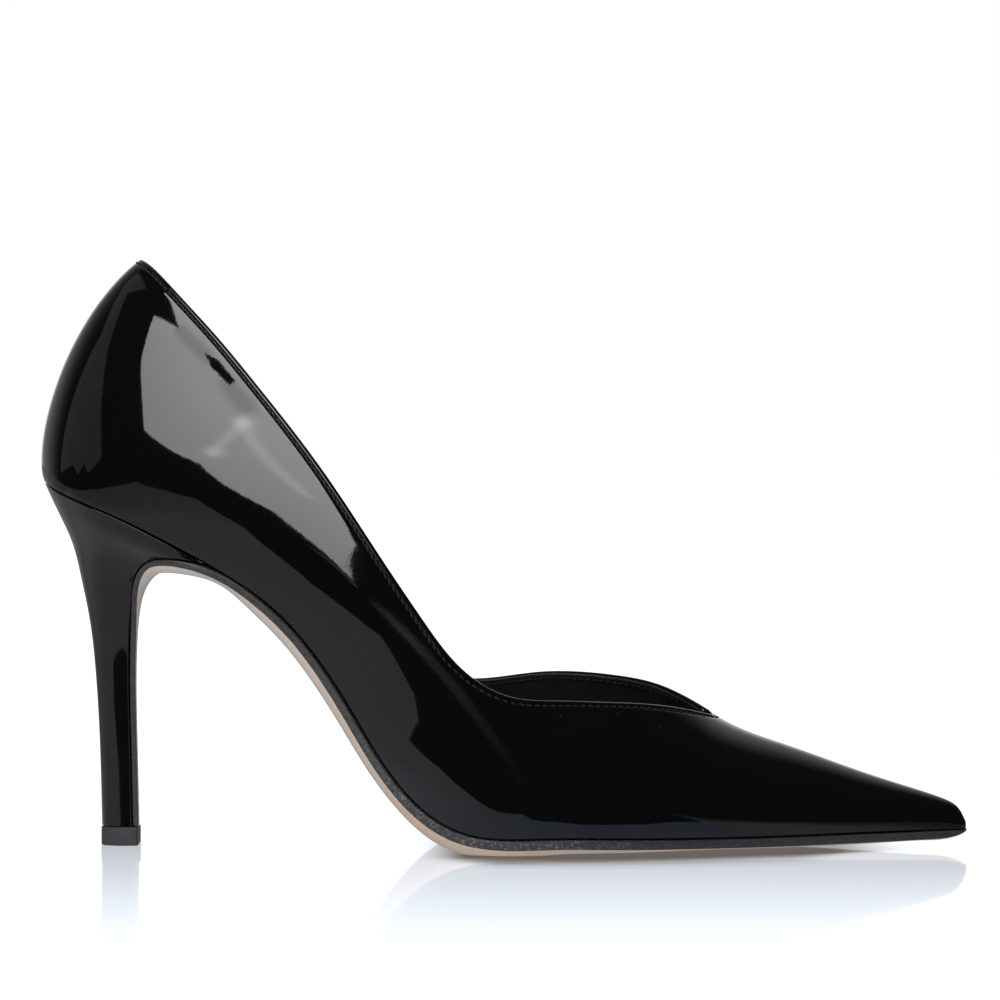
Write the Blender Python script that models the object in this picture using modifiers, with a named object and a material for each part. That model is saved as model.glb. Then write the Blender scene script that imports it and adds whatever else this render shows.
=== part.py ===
"""A left-foot court shoe with a pointed toe and a slim heel, modelled in millimetres and stored in metres.

Frame: +X points to the toe, +Y to the outer side of the foot, +Z up, floor at Z = 0.
Every shape is a smooth loft through the rows of a short table, one row for each section of the last.
"""
import bpy
import bmesh
import numpy as np

# Driving sizes, in millimetres
MM = 0.001
LENGTH = 230.6          # back of the heel to the toe point
BALL_WIDTH = 75.2       # widest part of the upper, across the ball
HEEL_HEIGHT = 90.4      # floor to the heel seat at the back
PATTERN_LENGTH = 230.6  # the tables below are drawn for this length,
PATTERN_WIDTH = 75.2    # this ball width
PATTERN_HEIGHT = 90.4   # and this heel height
BOX_MIDDLE = (0.2, 1.25)  # middle of the shoe's box in the tables, whose Y = 0 is the heel's centre line
WALL = 1.6              # leather, stiffener and lining together
TOE_WALL = 0.3          # wall at the very toe point, where its two sides meet
TOE_THINNING = 14.0     # length over which the wall thins to that
GAP = 0.3               # between pieces that are glued on the real shoe
INSOLE_THICK = 1.8
INSOLE_LIFT = 0.1       # keeps its flat facets off the curved seat
INSOLE_INSET = 2.6      # insole edge inside the foot line
INSOLE_ENDS = (0.012, 0.962)  # from the back seam to the toe, as parts of the foot line
SOLE_MARGIN = 0.3       # sole edge outside the foot line
TIP_HEIGHT = 4.6        # heel tip

# Grid sizes
QUARTER_STATIONS = 34   # from the back seam to the throat point, each side
VAMP_STATIONS = 18      # from the throat point to the toe point, each side
WALL_STEPS = 10         # from the foot line up to the top edge
SOLE_STATIONS = 58
INSOLE_STATIONS = 34
HEEL_LEVELS = 20
HEEL_STEPS = 12

# The last, one row for each rib, from the back seam to the toe point.
# A rib is a cubic curve with four handles: foot line, belly, shoulder and top.
# foot_x, foot_z, top_x, top_z place its ends in the side view; bow leans its middle back round the heel.
# The other columns are half widths of the handles on the inner (i) and outer (o) side of axis.
LAST_COLUMNS = ("foot_x", "foot_z", "top_x", "top_z", "bow", "foot_i", "foot_o", "belly_i", "belly_o",
                "shoulder_i", "shoulder_o", "top_half", "axis", "belly_rise", "shoulder_rise")
LAST_ROWS = (
    (-114.1, 90.2, -88.3, 147.6, 1.00, 0.0, 0.0, 0.0, 0.0, 0.0, 0.0, 0.0, 0.0, 0.33, 0.67),
    (-109.0, 88.2, -79.8, 145.0, 0.84, 16.0, 16.0, 17.5, 17.5, 17.0, 17.0, 10.5, 0.0, 0.33, 0.67),
    (-94.0, 81.9, -60.0, 131.0, 0.45, 23.8, 23.8, 28.0, 28.0, 25.0, 25.0, 17.5, 0.0, 0.33, 0.67),
    (-74.0, 71.3, -37.0, 111.5, 0.15, 20.5, 22.0, 29.5, 29.5, 27.0, 27.0, 20.0, 0.0, 0.33, 0.67),
    (-55.0, 58.0, -18.0, 94.0, 0.03, 17.8, 21.5, 29.5, 31.5, 29.0, 29.0, 20.0, 0.0, 0.33, 0.67),
    (-38.0, 35.7, -5.0, 80.5, 0.00, 19.0, 24.0, 31.5, 34.5, 31.0, 31.0, 18.0, 0.0, 0.33, 0.68),
    (-23.5, 14.5, 4.0, 71.0, 0.00, 25.5, 30.5, 36.0, 39.0, 32.0, 32.0, 14.0, 0.0, 0.30, 0.72),
    (-9.0, 5.2, 11.0, 63.5, 0.00, 31.5, 36.0, 40.5, 43.5, 32.0, 32.0, 9.0, 0.0, 0.26, 0.80),
    (9.0, 4.2, 20.0, 55.5, 0.00, 33.6, 36.8, 41.5, 44.0, 28.0, 29.5, 4.0, -0.5, 0.24, 0.90),
    (29.0, 4.2, 36.0, 45.0, 0.00, 32.0, 32.5, 38.5, 38.5, 23.0, 24.0, 1.0, -1.5, 0.26, 0.98),
    (50.0, 4.0, 53.3, 32.9, 0.00, 25.3, 24.3, 29.5, 29.0, 17.0, 17.5, 0.0, -3.5, 0.30, 1.00),
    (70.0, 4.1, 71.5, 24.6, 0.00, 18.5, 17.0, 21.5, 20.5, 12.0, 12.0, 0.0, -5.2, 0.33, 1.00),
    (90.0, 4.5, 90.5, 18.1, 0.00, 11.8, 10.6, 13.8, 12.8, 8.0, 8.0, 0.0, -7.0, 0.36, 1.00),
    (106.0, 4.8, 105.0, 13.4, 0.00, 6.2, 5.6, 7.6, 7.0, 4.6, 4.6, 0.0, -8.4, 0.40, 1.00),
    (113.0, 4.9, 111.3, 10.7, 0.00, 3.1, 2.9, 3.9, 3.7, 2.6, 2.6, 0.0, -9.0, 0.45, 1.00),
    (115.0, 4.9, 113.9, 8.6, 0.00, 0.0, 0.0, 0.0, 0.0, 0.0, 0.0, 0.0, -9.2, 0.50, 0.90),
)
# How far the two middle handles of the back seam lean from a straight line, in X and Z
BELLY_LEAN = (-12.3, -10.5)
SHOULDER_LEAN = (-12.7, 4.4)

# Top line in the side view, from the back peak to the throat point: X and the height on each side
TOPLINE_INNER = ((-90.5, 146.1), (-84.5, 141.5), (-79.2, 136.1), (-69.2, 125.2), (-59.3, 113.2),
                 (-49.4, 100.7), (-39.5, 87.0), (-29.7, 72.1), (-19.9, 57.9), (-12.6, 48.2), (-5.3, 41.7),
                 (1.9, 38.6), (14.1, 37.4), (23.8, 37.0), (36.3, 36.3), (45.0, 35.0), (53.3, 32.9))
TOPLINE_OUTER = ((-90.5, 146.1), (-86.0, 141.8), (-81.5, 136.4), (-71.8, 125.2), (-62.3, 113.2),
                 (-52.8, 100.7), (-43.5, 87.0), (-34.2, 72.1), (-26.0, 58.4), (-20.0, 48.8), (-14.0, 41.7),
                 (-6.0, 39.5), (9.8, 41.5), (20.1, 41.6), (30.3, 40.7), (40.3, 38.5), (53.3, 32.9))
PEAK_SLOPE = 2.0        # the top line's height behind the back peak, to end the centre rib at the peak

# The sole from the flap's lower end up the heel breast and over to the arch, then along the last's foot line.
# x, z: its upper face; half: half width; edge: height of the upright edge; crown: what the bottom adds below.
SOLE_COLUMNS = ("x", "z", "half_i", "half_o", "axis", "edge", "crown")
FLAP_ROWS = (
    (-91.9, 4.9, 4.2, 4.2, 0.0, 1.1, 0.2),
    (-92.3, 24.0, 4.2, 4.2, 0.0, 1.1, 0.2),
    (-92.6, 44.0, 4.9, 4.9, 0.0, 1.1, 0.3),
    (-92.2, 58.0, 6.8, 6.8, 0.0, 1.2, 0.4),
    (-91.0, 66.0, 9.2, 9.2, 0.0, 1.2, 0.6),
    (-87.6, 70.1, 12.6, 12.6, 0.0, 1.4, 0.8),
    (-82.5, 71.2, 16.0, 16.4, 0.0, 1.6, 0.9),
    (-76.5, 70.6, 18.6, 19.4, 0.0, 1.7, 0.9),
)
ARCH_START = -69.0      # from here to the toe the sole follows the last's foot line
ARCH_ROWS = 24          # rows taken from that line
TOE_DROP = 0.4          # extra room under the toe point, where the upper's wall leans back
# Height of the sole's upright edge and of its bottom's crown over X
SOLE_DEPTH = ((-69.0, 1.8, 0.9), (-38.0, 2.0, 0.9), (-23.5, 2.1, 1.3), (-9.0, 2.3, 2.5), (9.0, 2.3, 1.7),
              (29.0, 2.3, 1.0), (50.0, 2.2, 0.5), (90.0, 2.0, 0.4), (106.0, 1.7, 0.3), (115.0, 0.7, 0.2))
CROWN_RUN = 5.0         # how far in from the edge the crown is full

# The heel, one row for each section from its tip to just under the seat.
# back and front place the section's ends in the side view; half is its widest half width,
# widest says where that is (0 back, 1 front) and corner is the front half width as a part of half.
HEEL_COLUMNS = ("back_x", "back_z", "front_x", "front_z", "half", "widest", "corner")
HEEL_ROWS = (
    (-100.0, 4.9, -92.2, 4.9, 4.3, 0.60, 0.96),
    (-100.5, 24.0, -92.6, 24.0, 4.3, 0.60, 0.96),
    (-101.5, 42.0, -92.9, 40.0, 4.9, 0.60, 0.96),
    (-103.2, 57.0, -92.7, 53.0, 6.6, 0.60, 0.95),
    (-105.2, 67.0, -92.0, 62.0, 9.4, 0.60, 0.92),
    (-107.6, 76.2, -90.3, 68.3, 13.8, 0.60, 0.88),
    (-110.0, 81.6, -86.4, 71.4, 18.2, 0.60, 0.86),
    (-112.1, 86.0, -80.8, 71.9, 21.6, 0.58, 0.86),
)
HEEL_FRONT = -73.6      # front end of the heel's lip
BACK_SHARE = 0.7        # part of a heel section's points that go round its back


def clear_scene():
    """Removes every object that the file opened with."""
    for old in list(bpy.data.objects):
        bpy.data.objects.remove(old, do_unlink=True)


def smooth(knots, values, at, period=None):
    """Cubic curve with even curvature through values at knots: open with free ends, or closed after period."""
    knots = np.asarray(knots, float)
    values = np.asarray(values, float)
    at = np.asarray(at, float)
    if period is not None:
        knots = np.append(knots, knots[0] + period)
        values = np.concatenate([values, values[:1]])
        at = at % period
    count = len(knots)
    step = np.diff(knots)
    system = np.eye(count)
    slope = np.diff(values, axis=0) / step[:, None]
    bend = np.zeros_like(values)
    for i in range(1, count - 1):
        system[i, i - 1:i + 2] = step[i - 1], 2 * (step[i - 1] + step[i]), step[i]
        bend[i] = 6 * (slope[i] - slope[i - 1])
    if period is not None:
        system[0, -1] = -1
        system[-1, :2] = 2 * step[0], step[0]
        system[-1, -2:] = step[-1], 2 * step[-1]
        bend[-1] = 6 * (slope[0] - slope[-1])
    curve = np.linalg.solve(system, bend)
    i = np.clip(np.searchsorted(knots, at, side="right") - 1, 0, count - 2)
    after = (at - knots[i])[:, None]
    before = (knots[i + 1] - at)[:, None]
    run = step[i][:, None]
    return ((curve[i] * before ** 3 + curve[i + 1] * after ** 3) / (6 * run)
            + (values[i] / run - curve[i] * run / 6) * before
            + (values[i + 1] / run - curve[i + 1] * run / 6) * after)


def columns(names, rows):
    """Turns a table into a dictionary of arrays, one for each named column."""
    return dict(zip(names, np.array(rows, float).T))


def scaled(points):
    """Moves table points to the middle of the shoe's box and stretches them to the driving sizes."""
    stretch = np.array([LENGTH / PATTERN_LENGTH, BALL_WIDTH / PATTERN_WIDTH, HEEL_HEIGHT / PATTERN_HEIGHT])
    return (np.asarray(points, float) - (*BOX_MIDDLE, 0.0)) * stretch


def side_pair(x, z, axis, half_inner, half_outer):
    """The same side-view points on the inner (-Y) and the outer (+Y) side of axis."""
    return np.stack([x, axis - half_inner, z], -1), np.stack([x, axis + half_outer, z], -1)


def rib_handles():
    """Handles of every rib, as (row, handle, xyz), for the inner and the outer side."""
    last = columns(LAST_COLUMNS, LAST_ROWS)
    foot = np.stack([last["foot_x"], last["foot_z"]], 1)
    top = np.stack([last["top_x"], last["top_z"]], 1)
    bow = last["bow"][:, None]
    belly = foot + (top - foot) * last["belly_rise"][:, None] + bow * np.array(BELLY_LEAN)
    shoulder = foot + (top - foot) * last["shoulder_rise"][:, None] + bow * np.array(SHOULDER_LEAN)
    rings = []
    for view, inner, outer in ((foot, "foot_i", "foot_o"), (belly, "belly_i", "belly_o"),
                               (shoulder, "shoulder_i", "shoulder_o"), (top, "top_half", "top_half")):
        rings.append(side_pair(view[:, 0], view[:, 1], last["axis"], last[inner], last[outer]))
    return np.stack([ring[0] for ring in rings], 1), np.stack([ring[1] for ring in rings], 1)


def rib_knots(inner, outer):
    """Place of each rib along the shoe, 0 at the back seam and 1 at the toe, by distance along the wall."""
    wall = np.stack([inner[:, :3].mean(1), outer[:, :3].mean(1)])
    stride = np.linalg.norm(np.diff(wall, axis=1), axis=2).mean(0)
    along = np.concatenate([[0.0], np.cumsum(stride)])
    return along / along[-1]


INNER_HANDLES, OUTER_HANDLES = rib_handles()
KNOTS = rib_knots(INNER_HANDLES, OUTER_HANDLES)
LOOP_KNOTS = np.concatenate([KNOTS, 2 - KNOTS[-2:0:-1]])
LOOP_HANDLES = np.concatenate([INNER_HANDLES, OUTER_HANDLES[-2:0:-1]])


def handles_at(around):
    """Handles at around: 0 back seam, up to 1 along the inner side to the toe, up to 2 back on the outer side."""
    flat = smooth(LOOP_KNOTS, LOOP_HANDLES.reshape(len(LOOP_KNOTS), -1), around, period=2.0)
    return flat.reshape(-1, 4, 3)


def last_surface(around, up):
    """Points of the last: rib by around, height by up (rows of values from 0 at the foot line to 1)."""
    up = np.asarray(up, float)[..., None]
    weights = np.concatenate([(1 - up) ** 3, 3 * up * (1 - up) ** 2, 3 * up ** 2 * (1 - up), up ** 3], -1)
    return np.einsum("nmk,nkd->nmd", weights, handles_at(around))


def top_height(x, topline):
    """Height of a top line over X; behind the peak it climbs and ahead of the throat nothing is cut."""
    line = np.array(topline)
    inside = np.clip(x, line[0, 0], line[-1, 0])
    height = smooth(line[:, 0], line[:, 1:], inside.ravel())[:, 0].reshape(x.shape)
    height = height + PEAK_SLOPE * np.maximum(line[0, 0] - x, 0)
    return np.where(x > line[-1, 0], np.inf, height)


def cut_height(around, topline, samples=400):
    """How far up each rib the top line crosses it; 1 where the rib runs to the crest."""
    up = np.linspace(0, 1, samples + 1)
    points = last_surface(around, np.tile(up, (len(around), 1)))
    over = points[..., 2] - top_height(points[..., 0], topline)
    cut = np.ones(len(around))
    for i, row in enumerate(over):
        above = np.flatnonzero(row > 0)
        if len(above):
            j = above[0]
            share = row[j - 1] / (row[j - 1] - row[j]) if np.isfinite(row[j - 1]) else 1.0
            cut[i] = up[j - 1] + share * (up[j] - up[j - 1])
    return cut


def throat_station():
    """Place along the shoe where the crest meets the throat point of the top line."""
    along = np.linspace(0, 1, 2001)
    crest_x = handles_at(along)[:, 3, 0]
    return np.interp(TOPLINE_INNER[-1][0], crest_x, along)


def material(name, colour, roughness, metallic=0.0):
    """A plain Principled material."""
    made = bpy.data.materials.new(name)
    made.use_nodes = True
    shader = made.node_tree.nodes["Principled BSDF"]
    shader.inputs["Base Color"].default_value = (*colour, 1.0)
    shader.inputs["Roughness"].default_value = roughness
    shader.inputs["Metallic"].default_value = metallic
    return made


def add_object(name, points, faces, look, collection):
    """Makes one smooth-shaded mesh object from points in millimetres, with coincident points joined."""
    mesh = bpy.data.meshes.new(name)
    mesh.from_pydata((scaled(points) * MM).tolist(), [], faces)
    shape = bmesh.new()
    shape.from_mesh(mesh)
    bmesh.ops.remove_doubles(shape, verts=shape.verts, dist=1e-6)
    bmesh.ops.recalc_face_normals(shape, faces=shape.faces)
    shape.to_mesh(mesh)
    shape.free()
    mesh.polygons.foreach_set("use_smooth", [True] * len(mesh.polygons))
    mesh.set_sharp_from_angle(angle=0.7)
    mesh.materials.append(look)
    made = bpy.data.objects.new(name, mesh)
    collection.objects.link(made)
    return made


def grid_faces(rows, steps, start=0):
    """Quads of a rows x steps grid of points."""
    return [(start + i * steps + j, start + (i + 1) * steps + j, start + (i + 1) * steps + j + 1,
             start + i * steps + j + 1) for i in range(rows - 1) for j in range(steps - 1)]


def loft(rings):
    """Points and faces of a solid through even rings; point j faces point -1 - j across the ring."""
    count, size, _ = rings.shape
    faces = []
    for i in range(count - 1):
        for j in range(size):
            k = (j + 1) % size
            faces.append((i * size + j, i * size + k, (i + 1) * size + k, (i + 1) * size + j))
    for first in (0, (count - 1) * size):
        for j in range(size // 2 - 1):
            faces.append((first + j, first + j + 1, first + size - 2 - j, first + size - 1 - j))
    return rings.reshape(-1, 3), faces


def path_down(x, z):
    """Unit direction square to a side-view path, on the side that faces the floor along the forefoot."""
    run = np.stack([np.gradient(x), np.zeros_like(x), np.gradient(z)], 1)
    run /= np.linalg.norm(run, axis=1)[:, None]
    return np.stack([run[:, 2], np.zeros_like(x), -run[:, 0]], 1)


def build_upper(collection):
    """Upper: the last's surface below the top line, given its wall by Solidify, open above and below."""
    throat = throat_station()
    toe_run = 1 - (1 - np.linspace(0, 1, VAMP_STATIONS + 1)[1:]) ** 1.25
    along = np.concatenate([np.linspace(0, throat, QUARTER_STATIONS + 1), throat + (1 - throat) * toe_run])
    share = np.linspace(0, 1, WALL_STEPS + 1)
    sides = []
    for around, topline in ((along, TOPLINE_INNER), (2 - along, TOPLINE_OUTER)):
        cut = np.where(along < throat - 1e-6, cut_height(around, topline), 1.0)
        sides.append(last_surface(around, cut[:, None] * share))
    points = np.stack(sides)
    shared = points.mean(0)
    crest = along > throat - 1e-6
    points[:, 0] = shared[0]
    points[:, -1] = shared[-1]
    points[:, crest, -1] = shared[crest, -1]
    faces = grid_faces(len(along), len(share)) + grid_faces(len(along), len(share), len(along) * len(share))
    look = material("patent_leather", (0.006, 0.006, 0.007), 0.08)
    upper = add_object("upper", points.reshape(-1, 3), faces, look, collection)
    wall = upper.modifiers.new("wall", "SOLIDIFY")
    wall.thickness = WALL * MM
    wall.offset = -1.0
    wall.use_even_offset = False
    thick = upper.vertex_groups.new(name="full_wall")
    for vertex in upper.data.vertices:
        short_of_tip = (LENGTH / 2 - vertex.co.x / MM) / TOE_THINNING
        thick.add([vertex.index], min(max(short_of_tip, 0.0), 1.0), "REPLACE")
    wall.vertex_group = thick.name
    wall.thickness_vertex_group = TOE_WALL / WALL
    return upper


def foot_height(x):
    """Height of the foot line over X in the side view."""
    line = handles_at(np.linspace(0, 1, 801))[:, 0]
    return np.interp(x, line[:, 0], line[:, 2])


def foot_line(along, margin):
    """Foot line of the last at along on the inner and outer side, moved out in plan by margin."""
    sides = []
    for around in (along, 2 - along):
        line = handles_at(around)[:, 0]
        run = handles_at(around + 1e-4)[:, 0] - handles_at(around - 1e-4)[:, 0]
        out = np.stack([run[:, 1], -run[:, 0], np.zeros(len(run))], 1)
        line = line + margin * out / np.linalg.norm(out, axis=1)[:, None]
        line[:, 2] = foot_height(line[:, 0])
        sides.append(line)
    return sides


def station_of(foot_x):
    """Place along the shoe where the foot line reaches foot_x."""
    along = np.linspace(0, 1, 2001)
    return np.interp(foot_x, handles_at(along)[:, 0, 0], along)


def build_outsole(collection):
    """Outsole: sections along the flap, arch and forefoot, flat on the floor under the ball."""
    flap = columns(SOLE_COLUMNS, FLAP_ROWS)
    ahead = np.linspace(0, 1, ARCH_ROWS)
    along = station_of(ARCH_START) + (1 - station_of(ARCH_START)) * (1 - (1 - ahead) ** 1.3)
    inner, outer = foot_line(along, SOLE_MARGIN)
    down = path_down((inner[:, 0] + outer[:, 0]) / 2, (inner[:, 2] + outer[:, 2]) / 2)
    room = (GAP + TOE_DROP * ahead ** 8)[:, None]
    flap_inner, flap_outer = side_pair(flap["x"], flap["z"], flap["axis"], flap["half_i"], flap["half_o"])
    inner = np.concatenate([flap_inner, inner + room * down])
    outer = np.concatenate([flap_outer, outer + room * down])
    depth = np.array(SOLE_DEPTH)
    arch = smooth(depth[:, 0], depth[:, 1:], inner[len(FLAP_ROWS):, 0])
    depth = np.concatenate([np.column_stack([flap["edge"], flap["crown"]]), arch])
    stride = np.linalg.norm(np.diff(np.stack([inner, outer]), axis=1), axis=2).mean(0)
    knots = np.concatenate([[0.0], np.cumsum(stride)])
    total = knots[-1]
    around = np.concatenate([knots, 2 * total - knots[-2::-1]])
    values = np.concatenate([np.column_stack([inner, depth]), np.column_stack([outer, depth])[-2::-1]])
    at = total * (1 - (1 - np.linspace(0, 1, SOLE_STATIONS + 1)) ** 1.15)
    inside = smooth(around, values, at)
    outside = smooth(around, values, 2 * total - at)
    down = path_down((inside[:, 0] + outside[:, 0]) / 2, (inside[:, 2] + outside[:, 2]) / 2)
    width = np.linalg.norm(outside[:, :3] - inside[:, :3], axis=1)
    inward = np.minimum(CROWN_RUN, 0.3 * width)[:, None] * np.array([0.0, 1.0, 0.0])
    edge = inside[:, 3:4] * down
    crown = inside[:, 4:5] * down
    steps = ((0.0, 0.0, 0.0), (1.0, 0.0, 0.04), (1.0, 0.7, 0.4), (1.0, 1.0, 1.0))
    ring = [inside[:, :3] + a * edge + b * crown + c * inward for a, b, c in steps]
    ring += [outside[:, :3] + a * edge + b * crown - c * inward for a, b, c in reversed(steps)]
    rings = np.stack(ring, 1)
    rings[..., 2] = np.maximum(rings[..., 2], 0.0)
    return add_object("outsole", *loft(rings), material("sole_leather", (0.42, 0.33, 0.27), 0.45), collection)


def build_insole(collection):
    """Insole: a sheet inside the foot line, from the back of the heel seat to short of the toe point."""
    spread = np.linspace(0, 1, INSOLE_STATIONS + 1)
    along = INSOLE_ENDS[0] + (INSOLE_ENDS[1] - INSOLE_ENDS[0]) * (spread - 0.07 * np.sin(2 * np.pi * spread))
    inside, outside = foot_line(along, -INSOLE_INSET)
    down = path_down((inside[:, 0] + outside[:, 0]) / 2, (inside[:, 2] + outside[:, 2]) / 2)
    low, high = -INSOLE_LIFT * down, -(INSOLE_LIFT + INSOLE_THICK) * down
    rings = np.stack([inside + high, inside + low, outside + low, outside + high], 1)
    return add_object("insole", *loft(rings), material("sock_leather", (0.012, 0.012, 0.013), 0.5), collection)


def heel_section(row, share):
    """Half outline of one heel section from its back centre to its front corner: X, half width and Z."""
    turn = np.minimum(share / BACK_SHARE, 1) * np.pi / 2
    ahead = np.maximum(share - BACK_SHARE, 0) / (1 - BACK_SHARE)
    run = row["widest"] * (1 - np.cos(turn)) + (1 - row["widest"]) * ahead
    half = row["half"] * (np.sin(turn) - (1 - row["corner"]) * ahead ** 2)
    x = row["back_x"] + (row["front_x"] - row["back_x"]) * run
    z = row["back_z"] + (row["front_z"] - row["back_z"]) * run
    return np.stack([x, half, z], 1)


def build_heel(collection):
    """Heel: sections from the tip up to the curved seat, which follows the last's foot line."""
    share = np.linspace(0, 1, HEEL_STEPS + 1)
    rows = [dict(zip(HEEL_COLUMNS, row)) for row in HEEL_ROWS]
    inner = [heel_section(row, share) * (1, -1, 1) for row in rows]
    outer = [heel_section(row, share) for row in rows]
    front = station_of(HEEL_FRONT)
    inner.append(handles_at(front * share)[:, 0] - (0, 0, GAP))
    outer.append(handles_at(2 - front * share)[:, 0] - (0, 0, GAP))
    sections = np.concatenate([np.stack(inner), np.stack(outer)[:, ::-1]], 1)
    middle = sections.mean(1)
    rise = np.concatenate([[0.0], np.cumsum(np.linalg.norm(np.diff(middle, axis=0), axis=1))])
    levels = np.linspace(0, rise[-1], HEEL_LEVELS + 1)
    rings = smooth(rise, sections.reshape(len(rise), -1), levels).reshape(len(levels), -1, 3)
    return add_object("heel", *loft(rings), material("heel_cover", (0.007, 0.007, 0.008), 0.12), collection)


def build_heel_tip(collection):
    """Heel tip: the heel's lowest section, a little larger and as long as heel and flap together."""
    share = np.linspace(0, 1, HEEL_STEPS + 1)
    row = dict(zip(HEEL_COLUMNS, HEEL_ROWS[0]))
    row.update(back_x=row["back_x"] - 0.15, front_x=FLAP_ROWS[0][0] + 1.2, half=row["half"] + 0.15)
    outline = heel_section(row, share)
    ring = np.concatenate([outline * (1, -1, 1), outline[::-1]])
    middle = ring.mean(0)
    rings = []
    for height, size in ((0.0, 0.94), (0.3, 1.0), (TIP_HEIGHT, 1.0)):
        level = middle + (ring - middle) * (size, size, 1)
        level[:, 2] = height
        rings.append(level)
    return add_object("heel_tip", *loft(np.stack(rings)), material("tip_rubber", (0.05, 0.05, 0.052), 0.6),
                      collection)


clear_scene()
shoe = bpy.data.collections.new("court_shoe")
bpy.context.scene.collection.children.link(shoe)
build_upper(shoe)
build_insole(shoe)
build_outsole(shoe)
build_heel(shoe)
build_heel_tip(shoe)
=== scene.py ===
"""Looks of a left-foot court shoe in black patent leather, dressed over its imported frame.

The tables are in millimetres, with Y = 0 on the heel's centre line, and the meshes in metres in the
frame's axes: +X points to the toe, +Y to the outer side of the foot and +Z up, with the floor at Z = 0.
"""

import bmesh
import bpy
import numpy as np
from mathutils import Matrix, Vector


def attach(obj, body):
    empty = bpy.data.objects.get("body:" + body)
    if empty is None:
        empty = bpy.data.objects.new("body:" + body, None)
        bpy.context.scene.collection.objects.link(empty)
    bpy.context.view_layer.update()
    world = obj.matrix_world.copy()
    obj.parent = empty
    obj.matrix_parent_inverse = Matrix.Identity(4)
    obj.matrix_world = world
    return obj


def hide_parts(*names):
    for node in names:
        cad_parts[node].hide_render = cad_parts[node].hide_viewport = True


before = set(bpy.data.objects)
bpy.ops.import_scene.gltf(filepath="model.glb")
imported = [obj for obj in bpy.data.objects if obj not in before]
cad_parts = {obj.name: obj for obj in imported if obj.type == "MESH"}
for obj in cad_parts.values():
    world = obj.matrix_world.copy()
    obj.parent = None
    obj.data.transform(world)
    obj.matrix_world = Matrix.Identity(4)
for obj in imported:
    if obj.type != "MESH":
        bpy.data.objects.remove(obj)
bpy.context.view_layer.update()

# Upper: one skin of black patent leather drawn over the last, folded in along the top line, turned under
# at the foot line and closed by a seam down the back. The last is a loft of cubic ribs, one row for each
# from the back seam to the toe point, and every later piece reads its shape from it.
MM = 0.001
BOX_MIDDLE = (0.2, 1.25, 0.0)
LAST_COLUMNS = ("foot_x", "foot_z", "top_x", "top_z", "bow", "foot_i", "foot_o", "belly_i", "belly_o",
                "shoulder_i", "shoulder_o", "top_half", "axis", "belly_rise", "shoulder_rise")
LAST_ROWS = (
    (-114.2, 91.0, -88.3, 147.6, 1.00, 0.0, 0.0, 0.0, 0.0, 0.0, 0.0, 0.0, 0.0, 0.33, 0.67),
    (-109.0, 88.2, -79.8, 145.0, 0.84, 16.0, 16.0, 17.5, 17.5, 17.0, 17.0, 10.5, 0.0, 0.33, 0.67),
    (-94.0, 81.9, -60.0, 131.0, 0.45, 23.8, 23.8, 28.0, 28.0, 25.0, 25.0, 17.5, 0.0, 0.33, 0.67),
    (-74.0, 71.3, -37.0, 111.5, 0.15, 20.5, 22.0, 29.5, 29.5, 27.0, 27.0, 20.0, 0.0, 0.33, 0.67),
    (-55.0, 58.0, -18.0, 94.0, 0.03, 17.8, 21.5, 29.5, 31.5, 29.0, 29.0, 20.0, 0.0, 0.33, 0.67),
    (-38.0, 35.7, -5.0, 80.5, 0.00, 19.0, 24.0, 31.5, 34.5, 31.0, 31.0, 18.0, 0.0, 0.33, 0.68),
    (-23.5, 14.5, 4.0, 71.0, 0.00, 25.5, 30.5, 36.0, 39.0, 32.0, 32.0, 14.0, 0.0, 0.30, 0.72),
    (-9.0, 5.2, 11.0, 63.5, 0.00, 31.5, 36.0, 40.5, 43.5, 32.0, 32.0, 9.0, 0.0, 0.26, 0.80),
    (9.0, 4.2, 20.0, 55.5, 0.00, 33.6, 36.8, 41.5, 44.0, 28.0, 29.5, 4.0, -0.5, 0.24, 0.90),
    (29.0, 4.2, 36.0, 46.2, 0.00, 32.0, 32.5, 38.5, 38.5, 23.0, 24.0, 1.0, -1.5, 0.26, 0.98),
    (50.0, 4.0, 53.3, 32.6, 0.00, 25.3, 24.3, 29.5, 29.0, 17.0, 17.5, 0.0, -3.5, 0.30, 1.00),
    (70.0, 4.1, 71.5, 25.1, 0.00, 18.5, 17.0, 21.5, 20.5, 12.0, 12.0, 0.0, -5.2, 0.33, 1.00),
    (90.0, 4.5, 90.5, 18.4, 0.00, 11.8, 10.6, 13.8, 12.8, 8.0, 8.0, 0.0, -7.0, 0.36, 1.00),
    (106.0, 4.8, 105.0, 13.8, 0.00, 6.2, 5.6, 7.6, 7.0, 4.6, 4.6, 0.0, -8.4, 0.40, 1.00),
    (111.5, 4.9, 110.0, 12.0, 0.00, 4.0, 3.7, 4.9, 4.6, 3.1, 3.1, 0.0, -8.8, 0.44, 1.00),
    (114.2, 4.9, 113.6, 9.2, 0.00, 2.0, 1.9, 2.4, 2.3, 1.6, 1.6, 0.0, -9.1, 0.48, 1.00),
    (115.0, 4.9, 115.0, 6.3, 0.00, 0.0, 0.0, 0.0, 0.0, 0.0, 0.0, 0.0, -9.2, 0.50, 0.90),
)
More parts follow.
